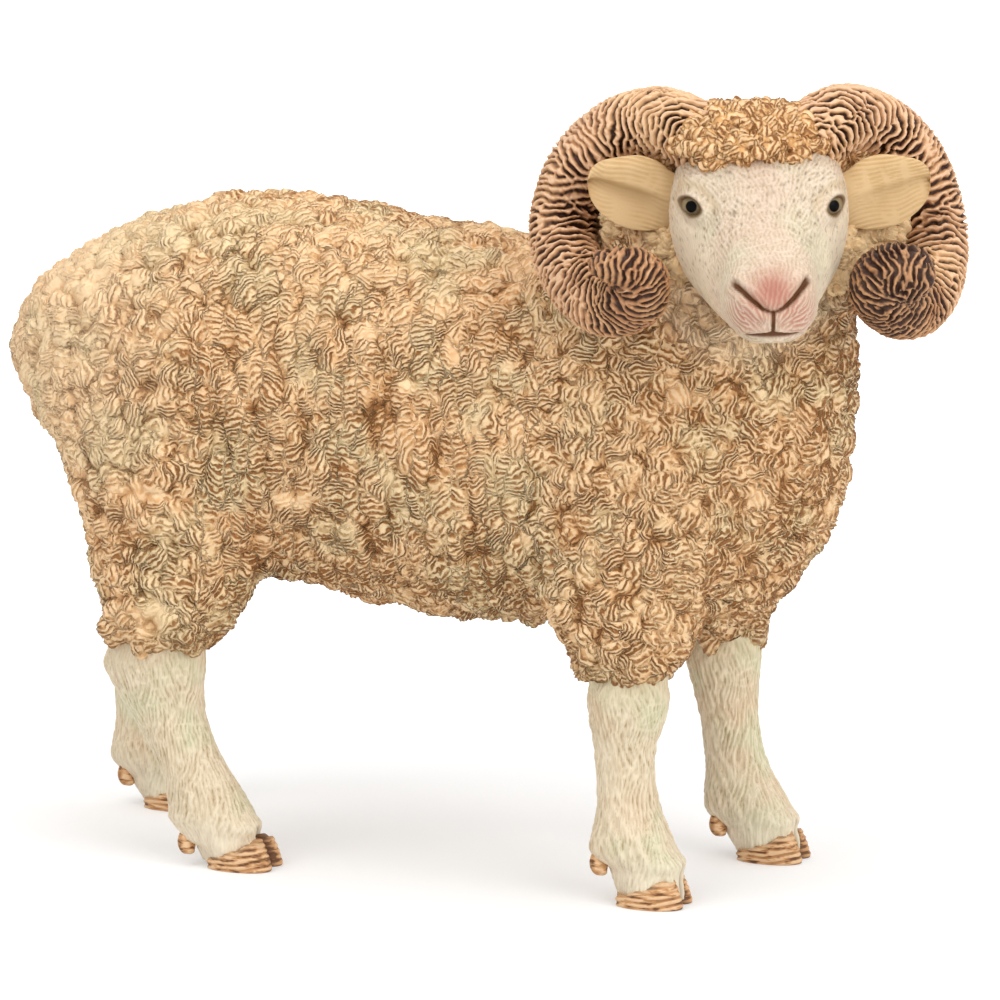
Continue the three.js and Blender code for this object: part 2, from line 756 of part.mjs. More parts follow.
// A cloven hoof: flat sole, slanted coronet, a wedge cut in from the toe and a bore for the leg
function hoofSolid(limb) {
  const foot = hoofMiddle(limb);
  const rings = HOOF_SHARES.map(([height, halfLong, halfWide]) => {
    const middle = foot.clone().setZ(height * HOOF_TOE);
    return oval(middle, X_WAY, Y_WAY, halfLong * HOOF_LENGTH, halfWide * HOOF_WIDTH, LEG_SIDES, BODY_POWER);
  });
  const seat = foot.clone().setZ(coronetHeight(0));
  let hoof = solid(loft(rings)).intersect(halfSpace(seat, coronetWay.clone().negate()));
  hoof = hoof.subtract(cleftWedge(foot));
  return hoof.subtract(hoofPeg(limb, CLEARANCE));
}

// The cleft between the two toes, widening towards the front
function cleftWedge(foot) {
  const reach = HOOF_LENGTH / 2 + OVERRUN;
  const inner = HOOF_LENGTH / 2 - CLEFT_DEPTH;
  const halfWide = CLEFT_WIDTH / 2 * (reach - inner) / CLEFT_DEPTH;
  const outline = new THREE.Shape();
  outline.moveTo(inner, 0);
  outline.lineTo(reach, -halfWide);
  outline.lineTo(reach, halfWide);
  const wedge = new THREE.ExtrudeGeometry(outline, { depth: HOOF_TOE + OVERRUN * 2, bevelEnabled: false });
  wedge.translate(foot.x, foot.y, -OVERRUN);
  return solid(wedge);
}

const CLAW_PLACES = [
  { name: 'right', side: -1 },
  { name: 'left', side: 1 },
];

// A dewclaw: a round nub behind the pastern on a peg that goes forward into the leg
function clawSolid(limb, place, grow = 0) {
  const foot = hoofMiddle(limb);
  const rows = LEG_SHARES[limb.name];
  const up = CLAW_SHARES[limb.name];
  const next = rows.findIndex(([height]) => height < up);
  const [, before, halfDeep, halfWide] = rows[next];
  const roundness = Math.sqrt(1 - (CLAW_SPREAD / (halfWide * LEG_WIDTH)) ** 2);
  const back = foot.x + before * LEG_TOP - halfDeep * LEG_WIDTH * roundness;
  const nub = new THREE.SphereGeometry(CLAW_RADIUS + grow, CLAW_SIDES, CLAW_SIDES);
  const middle = new THREE.Vector3(back, foot.y + place.side * CLAW_SPREAD, up * LEG_TOP);
  nub.translate(middle.x, middle.y, middle.z);
  return solid(nub).add(peg(middle, X_WAY, CLAW_PEG_RADIUS, CLAW_RADIUS + CLAW_PEG_LENGTH, grow));
}

// The docked tail: a flat woolly tab against the rump with a peg into it
function tailSolid(grow = 0) {
  const last = TAIL_SHARES.length - 1;
  const rings = TAIL_SHARES.map(([height, behind, halfThick, halfWide], station) => {
    const x = -behind * TAIL_THICKNESS;
    const z = TAIL_HEIGHT + height * TAIL_LENGTH - endShift(station, last, grow);
    const middle = new THREE.Vector3(x, 0, z);
    const halfX = halfThick * TAIL_THICKNESS + grow;
    return oval(middle, X_WAY, Y_WAY, halfX, halfWide * TAIL_WIDTH + grow, LEG_SIDES, BODY_POWER);
  });
  const root = new THREE.Vector3(0, 0, TAIL_HEIGHT);
  return solid(loft(rings)).add(peg(root, X_WAY, TAIL_PEG_RADIUS, TAIL_PEG_LENGTH, grow));
}

// Paints, as the finished figure shows them
const paint = (color, roughness) => new THREE.MeshStandardMaterial({ color, roughness, metalness: 0 });
const paints = {
  wool: () => paint(0xd9bf96, 0.8),
  knot: () => paint(0xd6ae72, 0.8),
  skin: () => paint(0xece5d3, 0.7),
  ear: () => paint(0xdfc496, 0.7),
  horn: () => paint(0xb58a66, 0.65),
  eye: () => paint(0x2a2018, 0.15),
  hoof: () => paint(0xa9805c, 0.65),
};

// One sub-part of the figure
function named(name, manifold, material) {
  const mesh = new THREE.Mesh(shape(manifold), material);
  mesh.name = name;
  return mesh;
}

const figure = new THREE.Group();
const fleece = wholeFleece();
figure.add(named('body_fleece', bodyFleece(fleece), paints.wool()));
figure.add(named('neck_fleece', neckFleece(fleece), paints.wool()));
figure.add(named('tail', tailSolid(), paints.wool()));
for (const limb of LIMBS) {
  figure.add(named(`${limb.name}_leg`, legSolid(limb), paints.skin()));
  figure.add(named(`${limb.name}_hoof`, hoofSolid(limb), paints.hoof()));
  for (const place of CLAW_PLACES) {
    figure.add(named(`${limb.name}_dewclaw_${place.name}`, clawSolid(limb, place), paints.hoof()));
  }
}
headPlace.add(named('head', headSolid(), paints.skin()));
headPlace.add(named('poll_wool', knotSolid(), paints.knot()));
for (const hand of HANDS) {
  headPlace.add(named(`${hand.name}_horn`, solid(hornLoft(hand)), paints.horn()));
  headPlace.add(named(`${hand.name}_ear`, solid(earLoft(hand)), paints.ear()));
  headPlace.add(named(`${hand.name}_eye`, solid(eyeBall(hand)), paints.eye()));
}
figure.add(headPlace);

// The figure stands on zero height with the middle of its box over the origin
const box = new THREE.Box3().setFromObject(figure, true);
const middle = box.getCenter(new THREE.Vector3());
figure.position.set(-middle.x, -middle.y, -box.min.z);

const model = new THREE.Group();
model.add(figure);

export default model;
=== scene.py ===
"""A moulded and painted toy ram with curled horns, dressed for its photograph.

Shapes are worked out in millimetres in a modelling frame whose zero X is the mean of the four
hooves, and are moved into the row frame, in metres, as they are put into their meshes.
"""
import itertools
import logging
import math
from collections.abc import Iterator
from dataclasses import dataclass, field
from enum import Enum

import bmesh
import bpy
import numpy as np
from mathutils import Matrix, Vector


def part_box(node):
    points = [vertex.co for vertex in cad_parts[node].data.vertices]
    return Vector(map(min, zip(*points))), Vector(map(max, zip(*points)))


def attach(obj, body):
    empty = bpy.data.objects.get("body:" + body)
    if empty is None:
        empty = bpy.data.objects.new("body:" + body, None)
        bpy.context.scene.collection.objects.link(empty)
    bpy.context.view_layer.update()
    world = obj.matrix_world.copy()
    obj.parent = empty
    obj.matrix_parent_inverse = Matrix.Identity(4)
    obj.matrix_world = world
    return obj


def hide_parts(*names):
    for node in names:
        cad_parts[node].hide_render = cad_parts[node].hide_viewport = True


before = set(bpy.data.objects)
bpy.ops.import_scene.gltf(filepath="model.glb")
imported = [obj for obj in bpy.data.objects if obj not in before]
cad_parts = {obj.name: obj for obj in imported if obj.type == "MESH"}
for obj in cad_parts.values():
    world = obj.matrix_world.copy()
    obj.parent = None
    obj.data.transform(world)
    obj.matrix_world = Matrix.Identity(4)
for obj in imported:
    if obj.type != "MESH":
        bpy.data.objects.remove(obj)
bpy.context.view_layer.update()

Array = np.ndarray
Skin = tuple[Array, list[list[int]]]
Triple = tuple[float, float, float]
Lump = tuple[Triple, Triple]
Ways = tuple[Array, Array]
LOG = logging.getLogger("ram")
MM = 0.001
AHEAD = np.array([1.0, 0.0, 0.0])
LEFT = np.array([0.0, 1.0, 0.0])
UP = np.array([0.0, 0.0, 1.0])
FAR = 9.0


class Side(Enum):
    """The ram's own right and left, as the sign of Y."""

    RIGHT = -1
    LEFT = 1

    @property
    def word(self) -> str:
        """The side's name in small letters, as the CAD's nodes have it."""
        return self.name.lower()

    @classmethod
    def of(cls, foot: str) -> "Side":
        """The side of a foot, from a name such as front_left."""
        return cls[foot.split("_")[1].upper()]


# Whole arrays


def unit(rows: Array) -> Array:
    """Each row divided by its own length."""
    return rows / np.maximum(np.linalg.norm(rows, axis=-1, keepdims=True), 1e-9)


def dot(first: Array, second: Array) -> Array:
    """The scalar product of each row with the same row of the other."""
    return np.einsum("ij,ij->i", first, second)


def ramp(low: float, high: float, value: Array) -> Array:
    """Zero below low, one above high, and an S-shaped rise between them."""
    share = np.clip((value - low) / (high - low), 0.0, 1.0)
    return share * share * (3.0 - 2.0 * share)


def bell(value: Array) -> Array:
    """A bell curve: e to the power of minus the value squared."""
    return np.exp(-value * value)


def spline(given: Array, count: int) -> Array:
    """A smooth line through the rows of a table.

    Formula: a Catmull-Rom cubic through each four rows, with the end rows mirrored outwards.

    Args:
        given: the rows to pass through.
        count: how many rows to return, evenly spread over the given ones.

    Returns:
        The rows on the smooth line.
    """
    rows = np.vstack([2 * given[0] - given[1], given, 2 * given[-1] - given[-2]])
    at = np.linspace(0, len(given) - 1, count)
    start = np.minimum(at.astype(int), len(given) - 2)
    t = (at - start)[:, None]
    a, b, c, d = rows[start], rows[start + 1], rows[start + 2], rows[start + 3]
    square, cube = 2 * a - 5 * b + 4 * c - d, 3 * b - a - 3 * c + d
    return 0.5 * (2 * b + (c - a) * t + square * t**2 + cube * t**3)


def rings(
    middles: Array, first: Array, second: Array, halves: Array, sides: int, power: float = 2.0
) -> Array:
    """Superellipses round middles, as a grid of points.

    Formula: the cosine and sine of the angle, each to the power 2 / power with its sign kept, times
    the half sizes along the first and second directions.

    Args:
        middles: one middle for each ring.
        first: the direction of the first half size, one or one for each ring.
        second: the direction of the second half size.
        halves: the two half sizes of each ring.
        sides: points round a ring.
        power: 2 is an ellipse and more is squarer.

    Returns:
        Rings by sides by three numbers.
    """
    angle = np.linspace(0, 2 * math.pi, sides, endpoint=False)
    cos = np.sign(np.cos(angle)) * np.abs(np.cos(angle)) ** (2 / power)
    sin = np.sign(np.sin(angle)) * np.abs(np.sin(angle)) ** (2 / power)
    first = np.broadcast_to(first, middles.shape)
    second = np.broadcast_to(second, middles.shape)
    across = halves[:, :1, None] * cos[None, :, None] * first[:, None, :]
    along = halves[:, 1:2, None] * sin[None, :, None] * second[:, None, :]
    return middles[:, None, :] + across + along


def tube(grid: Array) -> Skin:
    """A closed skin over a grid of rings, each end drawn to the middle of its last ring.

    Args:
        grid: rings by sides by three numbers.

    Returns:
        Points and faces, the faces turned outwards.
    """
    count, sides, _ = grid.shape
    index = np.arange(count * sides).reshape(count, sides)
    right = np.roll(index, -1, axis=1)
    quads = np.stack([index[:-1], right[:-1], right[1:], index[1:]], axis=-1).reshape(-1, 4)
    foot = np.full(sides, count * sides)
    bottom = np.stack([foot, right[0], index[0]], axis=-1)
    top = np.stack([foot + 1, index[-1], right[-1]], axis=-1)
    points = np.vstack([grid.reshape(-1, 3), grid[0].mean(axis=0), grid[-1].mean(axis=0)])
    corners = points[quads]
    turn = np.cross(corners[:, 2] - corners[:, 0], corners[:, 3] - corners[:, 1])
    volume = np.einsum("ij,ij->", turn, corners.mean(axis=1) - points.mean(axis=0))
    faces = [quads, bottom, top]
    if volume < 0:
        faces = [each[:, ::-1] for each in faces]
    return points, [row for each in faces for row in each.tolist()]


def normals_of(points: Array, quads: Array) -> Array:
    """Unit normals at the points of a skin of quads, as the mean of the faces round each point."""
    corners = points[quads]
    turn = np.cross(corners[:, 2] - corners[:, 0], corners[:, 3] - corners[:, 1])
    spread = np.repeat(turn, 4, axis=0)
    flat = quads.ravel()
    total = [np.bincount(flat, weights=spread[:, axis], minlength=len(points)) for axis in range(3)]
    return unit(np.stack(total, axis=-1))


def relaxed(points: Array, quads: Array, rounds: int) -> Array:
    """Evens out a skin: each point moves to the mean of its neighbours, a number of times over.

    Args:
        points: the skin's points.
        quads: its faces.
        rounds: how many times.

    Returns:
        The moved points.
    """
    one, other = quads.T.ravel(), np.roll(quads, -1, axis=1).T.ravel()
    size = len(points)
    count = np.bincount(one, minlength=size) + np.bincount(other, minlength=size)
    for _ in range(rounds):
        total = np.zeros_like(points)
        for axis in range(3):
            total[:, axis] = np.bincount(one, weights=points[other, axis], minlength=size)
            total[:, axis] += np.bincount(other, weights=points[one, axis], minlength=size)
        points = total / count[:, None]
    return points


def scattered(points: Array, cell: float, seed: int, extra: int) -> Iterator[tuple[Array, Array]]:
    """Walks the 27 cells round each point, each cell with one scattered middle.

    Args:
        points: where the pattern is read.
        cell: the edge of a cell.
        seed: which scatter.
        extra: how many further numbers from 0 to 1 each cell holds.

    Yields:
        The way from the cell's middle to each point, and the cell's further numbers.
    """
    low = points.min(axis=0) - 2 * cell
    at = np.floor((points - low) / cell).astype(np.int64)
    size = at.max(axis=0) + 3
    drawn = np.random.default_rng(seed).random((*size, 3 + extra))
    for step in itertools.product((-1, 0, 1), repeat=3):
        here = at + np.array(step)
        row = drawn[here[:, 0], here[:, 1], here[:, 2]]
        yield points - low - (here + row[:, :3]) * cell, row[:, 3:]


def clouds(points: Array, size: float, seed: int) -> Array:
    """Soft patches from -1 to 1.

    Formula: random numbers on a cubic lattice, blended by S-curves between the eight corners.

    Args:
        points: where the patches are read.
        size: the lattice's step.
        seed: which scatter.

    Returns:
        One number for each point.
    """
    low = points.min(axis=0) - size
    place = (points - low) / size
    at = np.floor(place).astype(np.int64)
    share = place - at
    share = share * share * (3 - 2 * share)
    drawn = np.random.default_rng(seed).random(tuple(at.max(axis=0) + 2)) * 2 - 1
    total = np.zeros(len(points))
    for corner in itertools.product((0, 1), repeat=3):
        weight = np.prod(np.where(np.array(corner) == 1, share, 1 - share), axis=1)
        here = at + np.array(corner)
        total += weight * drawn[here[:, 0], here[:, 1], here[:, 2]]
    return total


def drift(points: Array, size: float, seeds: range) -> Array:
    """Three fields of soft patches, one for each seed, as a way to move every point."""
    return np.stack([clouds(points, size, seed) for seed in seeds], axis=-1)


@dataclass(frozen=True)
class Swell:
    """Soft patches that raise and lower a surface. Lengths are in millimetres."""

    height: float
    size: float
    seed: int

    def at(self, points: Array) -> Array:
        """How far each point is raised."""
        return self.height * clouds(points, self.size, self.seed)


@dataclass(frozen=True)
class Strands:
    """Raised strands that run in patches, fork and merge. Lengths are in millimetres, turns in radians."""

    pitch: float
    patch: float
    turn: float
    height: float
    seed: int
    fade: float = 0.42

    def at(self, points: Array, ways: Ways, angle: Array | float = 0.0) -> tuple[Array, Array]:
        """Reads the pattern.

        Formula: every patch adds a plane wave with its own direction in the surface and its own start,
        faded by a bell curve of the distance from the patch's middle. The angle of the summed wave
        gives the crest, half of one plus its cosine, and its size against the summed bells how clear it is.

        Args:
            points: where the pattern is read.
            ways: two unit directions in the surface at each point, square to each other.
            angle: the way across the strands, as a turn from the first direction.

        Returns:
            The crest from 0 to 1, and how clear the strands are from 0 to 1.
        """
        reach = self.fade * self.patch
        wave = np.zeros(len(points), dtype=complex)
        whole = np.zeros(len(points))
        for way, numbers in scattered(points, self.patch, self.seed, 2):
            fade = np.exp(-dot(way, way) / (2 * reach**2))
            turn = angle + self.turn * (numbers[:, 0] * 2 - 1)
            along = dot(way, ways[0]) * np.cos(turn) + dot(way, ways[1]) * np.sin(turn)
            wave += fade * np.exp(2j * math.pi * (along / self.pitch + numbers[:, 1]))
            whole += fade
        return 0.5 + 0.5 * np.cos(np.angle(wave)), np.abs(wave) / np.maximum(whole, 1e-6)


@dataclass(frozen=True)
class Tufts:
    """Overlapping tufts of wool, each with its own crimps; a squeeze under 1 makes them tall."""

    size: float
    turn: float
    seed: int
    squeeze: float = 1.0
    level: float = 0.8
    bend: float = 0.8

    def at(self, points: Array, ways: Ways, angle: Array | float) -> tuple[Array, Array, Array, Array]:
        """Reads the pattern.

        Formula: every scattered middle raises a dome of its own level, its height less the squared
        distance, and the highest dome is the tuft at a point. The crimps cross a tuft in curves: the
        way across them plus a bend times the square of the way along them.

        Args:
            points: where the pattern is read.
            ways: two unit directions in the surface at each point, square to each other.
            angle: the way across the crimps, as a turn from the first direction.

        Returns:
            The height of the highest dome, how far it stands above the next, the way across the
            crimps in millimetres, and the tuft's own number.
        """
        stretch = np.array([1.0, 1.0, self.squeeze])
        best = np.full(len(points), -FAR)
        after = np.full(len(points), -FAR)
        across = np.zeros(len(points))
        number = np.zeros(len(points))
        for way, numbers in scattered(points * stretch, self.size, self.seed, 4):
            dome = self.level * numbers[:, 0] - dot(way, way) / self.size**2
            way = way / stretch
            turn = angle + self.turn * (numbers[:, 1] * 2 - 1)
            down, level = dot(way, ways[0]), dot(way, ways[1])
            along = level * np.cos(turn) - down * np.sin(turn)
            straight = down * np.cos(turn) + level * np.sin(turn)
            crimp = straight + (numbers[:, 2] - 0.5) * self.bend * along**2
            higher = dome > best
            after = np.where(higher, best, np.maximum(after, dome))
            best = np.where(higher, dome, best)
            across = np.where(higher, crimp, across)
            number = np.where(higher, numbers[:, 3], number)
        return best, best - after, across, number


def surface_ways(normals: Array, fall: Array) -> Ways:
    """Two unit directions in the surface: the one nearest to the fall, and the one square to it."""
    fall = np.broadcast_to(fall, normals.shape)
    first = unit(fall - dot(normals, fall)[:, None] * normals)
    return first, np.cross(normals, first)


def stroke(points: Array, line: Array) -> tuple[Array, Array]:
    """How far points are from a line of straight steps, and where along it, from 0 to 1.

    Args:
        points: where the distance is read.
        line: the corners of the line.

    Returns:
        The distance and the place along the line of the nearest point on it.
    """
    best = np.full(len(points), 1e6)
    place = np.zeros(len(points))
    for step in range(len(line) - 1):
        start, way = line[step], line[step + 1] - line[step]
        share = np.clip((points - start) @ way / (way @ way), 0, 1)
        far = np.linalg.norm(points - start - share[:, None] * way, axis=1)
        closer = far < best
        best = np.where(closer, far, best)
        place = np.where(closer, (step + share) / (len(line) - 1), place)
    return best, place


# Tables and starting values


def columns(*parts: Array | float) -> Array:
    """Rows of numbers out of their columns, a plain number standing for a whole column."""
    return np.stack(np.broadcast_arrays(*parts), axis=-1)


def table(*rows: list[float]) -> Array:
    """A table of numbers as the value that a dataclass field starts with."""
    return field(default_factory=lambda: np.array(rows))


def tables(**rows: list[list[float]]) -> dict[str, Array]:
    """Several tables under their names, as the value that a dataclass field starts with."""
    return field(default_factory=lambda: {name: np.array(each) for name, each in rows.items()})


def by_name(**values: object) -> dict[str, object]:
    """Values under their names, as the value that a dataclass field starts with."""
    return field(default_factory=lambda: dict(values))


# The frame


@dataclass(frozen=True)
class HeadFrame:
    """The head's own frame: +X to the muzzle, +Y to its left, zero between the eyes, in millimetres."""

    middle: Triple = (36.1, -12.0, 69.6)
    turn: float = math.radians(-67)
    eye_back: float = 0.9

    def matrix(self) -> Array:
        """The rotation from the head's frame to the modelling frame."""
        cos, sin = math.cos(self.turn), math.sin(self.turn)
        return np.array([[cos, -sin, 0.0], [sin, cos, 0.0], [0.0, 0.0, 1.0]])

    def out(self, points: Array) -> Array:
        """Points of the head's frame in the modelling frame."""
        return points @ self.matrix().T + np.array(self.middle)

    def into(self, points: Array) -> Array:
        """Points of the modelling frame in the head's frame."""
        return (points - np.array(self.middle)) @ self.matrix()

    def shift(self) -> Array:
        """The way from the modelling frame to the row frame, found from where the CAD eyes are."""
        corners = np.array([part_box(f"{side}_eye") for side in ("right", "left")])
        between = corners.reshape(-1, 3).mean(axis=0) / MM
        return between - self.out(np.array([[-self.eye_back, 0.0, 0.0]]))[0]


HEAD = HeadFrame()
SHIFT = HEAD.shift()


def placed(name: str, data: bpy.types.ID) -> bpy.types.Object:
    """A new object with a mesh, lamp or camera, in the scene, at the origin and unturned."""
    piece = bpy.data.objects.new(name, data)
    bpy.context.scene.collection.objects.link(piece)
    return piece


def put(name: str, skin: Skin, values: dict[str, Array] | None = None) -> bpy.types.Object:
    """Puts a skin into the scene as a smooth mesh in the row frame.

    Args:
        name: the object's name.
        skin: points in millimetres in the modelling frame, and faces.
        values: named numbers for the points, kept as attributes for the materials.

    Returns:
        The new object, at the origin and unturned.
    """
    points, faces = skin
    mesh = bpy.data.meshes.new(name)
    mesh.from_pydata((points + SHIFT) * MM, [], faces)
    for label, numbers in (values or {}).items():
        mesh.attributes.new(label, "FLOAT", "POINT").data.foreach_set("value", numbers.astype(np.float32))
    mesh.shade_smooth()
    return placed(name, mesh)


def finished(piece: bpy.types.Object) -> bpy.types.Mesh:
    """A new mesh with the object's modifiers carried out."""
    graph = bpy.context.evaluated_depsgraph_get()
    return bpy.data.meshes.new_from_object(piece.evaluated_get(graph), depsgraph=graph)


def arrays_of(mesh: bpy.types.Mesh) -> tuple[Array, Array]:
    """A mesh of quads as points in millimetres in the modelling frame, and whole-number faces."""
    points = np.empty(len(mesh.vertices) * 3)
    mesh.vertices.foreach_get("co", points)
    quads = np.empty(len(mesh.loops), dtype=np.int32)
    mesh.loops.foreach_get("vertex_index", quads)
    return points.reshape(-1, 3) / MM - SHIFT, quads.reshape(-1, 4)


def drop(piece: bpy.types.Object) -> None:
    """Removes a helper object and its mesh."""
    mesh = piece.data
    bpy.data.objects.remove(piece)
    bpy.data.meshes.remove(mesh)


def joined(shells: list[Skin]) -> Skin:
    """Several skins as one, each with its own points."""
    starts = np.cumsum([0] + [len(points) for points, _ in shells]).tolist()
    faces = []
    for start, (_, own) in zip(starts, shells):
        faces += [[corner + start for corner in face] for face in own]
    return np.vstack([points for points, _ in shells]), faces


def fused(shells: list[Skin], voxel: float, rounds: int, levels: int) -> tuple[Array, Array]:
    """One smooth skin of quads round overlapping closed shells.

    Formula: the shells are filled with cubes and skinned, each point then moves to the mean of its
    neighbours a number of times, and the skin is subdivided by Catmull and Clark's rule.

    Args:
        shells: closed skins that overlap.
        voxel: the edge of a cube in millimetres.
        rounds: how many times the points are averaged.
        levels: how many times the skin is subdivided.

    Returns:
        Points and quads.
    """
    helper = put("helper_shells", joined(shells))
    fill = helper.modifiers.new("fill", "REMESH")
    fill.mode = "VOXEL"
    fill.voxel_size = voxel * MM
    coarse = finished(helper)
    drop(helper)
    points, quads = arrays_of(coarse)
    bpy.data.meshes.remove(coarse)
    points = relaxed(points, quads, rounds)
    helper = put("helper_skin", (points, quads.tolist()))
    divide = helper.modifiers.new("divide", "SUBSURF")
    divide.levels = divide.render_levels = levels
    fine = finished(helper)
    drop(helper)
    points, quads = arrays_of(fine)
    bpy.data.meshes.remove(fine)
    return points, quads


def thinned(piece: bpy.types.Object, triangles: int) -> None:
    """Gives a piece fewer faces where its surface is plain, if it has too many.

    Args:
        piece: the piece to change.
        triangles: how many triangles it may keep.
    """
    count = sum(len(face.vertices) - 2 for face in piece.data.polygons)
    if count <= triangles:
        return
    change = piece.modifiers.new("thin", "DECIMATE")
    change.ratio = triangles / count
    mesh = finished(piece)
    piece.modifiers.clear()
    old = piece.data
    mesh.name = old.name
    piece.data = mesh
    bpy.data.meshes.remove(old)
    mesh.shade_smooth()


def cut_off(piece: bpy.types.Object, name: str, point: Array, way: Array) -> bpy.types.Object:
    """A copy of a closed piece with all that lies beyond a plane cut off and the cut closed.

    Args:
        piece: the piece to copy.
        name: the copy's name.
        point: a point on the plane, in the modelling frame.
        way: the plane's direction, towards what is cut off.

    Returns:
        The new object.
    """
    mesh = piece.data.copy()
    mesh.name = name
    work = bmesh.new()
    work.from_mesh(mesh)
    parts = work.verts[:] + work.edges[:] + work.faces[:]
    place = (point + SHIFT) * MM
    cut = bmesh.ops.bisect_plane(work, geom=parts, plane_co=place, plane_no=way, clear_outer=True)
    rim = [part for part in cut["geom_cut"] if isinstance(part, bmesh.types.BMEdge)]
    rim = [edge for edge in rim if edge.is_valid and edge.is_boundary]
    caps = bmesh.ops.holes_fill(work, edges=rim, sides=0)["faces"]
    for edge in rim:
        edge.smooth = False
    for cap in caps:
        cap.smooth = False
    bmesh.ops.triangulate(work, faces=caps)
    work.to_mesh(mesh)
    work.free()
    return placed(name, mesh)


# Materials


@dataclass
class Graph:
    """A node tree with short ways to add and join nodes."""

    tree: bpy.types.NodeTree

    def add(self, kind: str, **settings: object) -> bpy.types.Node:
        """A new node of a kind, with its own settings."""
        node = self.tree.nodes.new(kind)
        for label, value in settings.items():
            setattr(node, label, value)
        return node

    def feed(self, socket: bpy.types.NodeSocket, source: object) -> None:
        """Joins a source to a socket, or sets the socket to it if it is a plain value."""
        if isinstance(source, bpy.types.NodeSocket):
            self.tree.links.new(source, socket)
        else:
            socket.default_value = source

    def sum(
        self, operation: str, first: object, second: object = 0.0, clamp: bool = False
    ) -> bpy.types.NodeSocket:
        """The result of a sum on one or two numbers."""
        node = self.add("ShaderNodeMath", operation=operation, use_clamp=clamp)
        self.feed(node.inputs[0], first)
        self.feed(node.inputs[1], second)
        return node.outputs[0]

    def line(self, value: object, factor: object, start: object) -> bpy.types.NodeSocket:
        """A start plus a factor times a value."""
        return self.sum("ADD", start, self.sum("MULTIPLY", value, factor))

    def blend(self, share: object, first: object, second: object) -> bpy.types.NodeSocket:
        """A colour between two colours."""
        node = self.add("ShaderNodeMix", data_type="RGBA", blend_type="MIX")
        self.feed(node.inputs[0], share)
        self.feed(node.inputs[6], first)
        self.feed(node.inputs[7], second)
        return node.outputs[2]

    def noise(
        self, place: object, scale: float, detail: float = 2.0, rough: float = 0.5
    ) -> bpy.types.NodeSocket:
        """Soft noise.

        Args:
            place: where it is read.
            scale: waves to the metre.
            detail: how many finer layers it has.
            rough: how strong the finer layers are.

        Returns:
            A number from 0 to 1.
        """
        node = self.add("ShaderNodeTexNoise")
        self.feed(node.inputs["Vector"], place)
        self.feed(node.inputs["Scale"], scale)
        self.feed(node.inputs["Detail"], detail)
        self.feed(node.inputs["Roughness"], rough)
        return node.outputs["Fac"]

    def between(self, value: object, low: float, high: float) -> bpy.types.NodeSocket:
        """Zero below low, one above high and an S-shaped rise between them."""
        node = self.add("ShaderNodeMapRange", interpolation_type="SMOOTHSTEP")
        self.feed(node.inputs["Value"], value)
        self.feed(node.inputs["From Min"], low)
        self.feed(node.inputs["From Max"], high)
        return node.outputs["Result"]

    def kept(self, name: str) -> bpy.types.NodeSocket:
        """The numbers that a mesh keeps under a name."""
        return self.add("ShaderNodeAttribute", attribute_name=name).outputs["Fac"]

    def place(self) -> bpy.types.NodeSocket:
        """The place on the piece, in metres."""
        return self.add("ShaderNodeTexCoord").outputs["Object"]


def new_material(name: str) -> tuple[bpy.types.Material, Graph, bpy.types.Node]:
    """A new material, its graph and the one shader in it."""
    material = bpy.data.materials.new(name)
    material.use_nodes = True
    return material, Graph(material.node_tree), material.node_tree.nodes["Principled BSDF"]


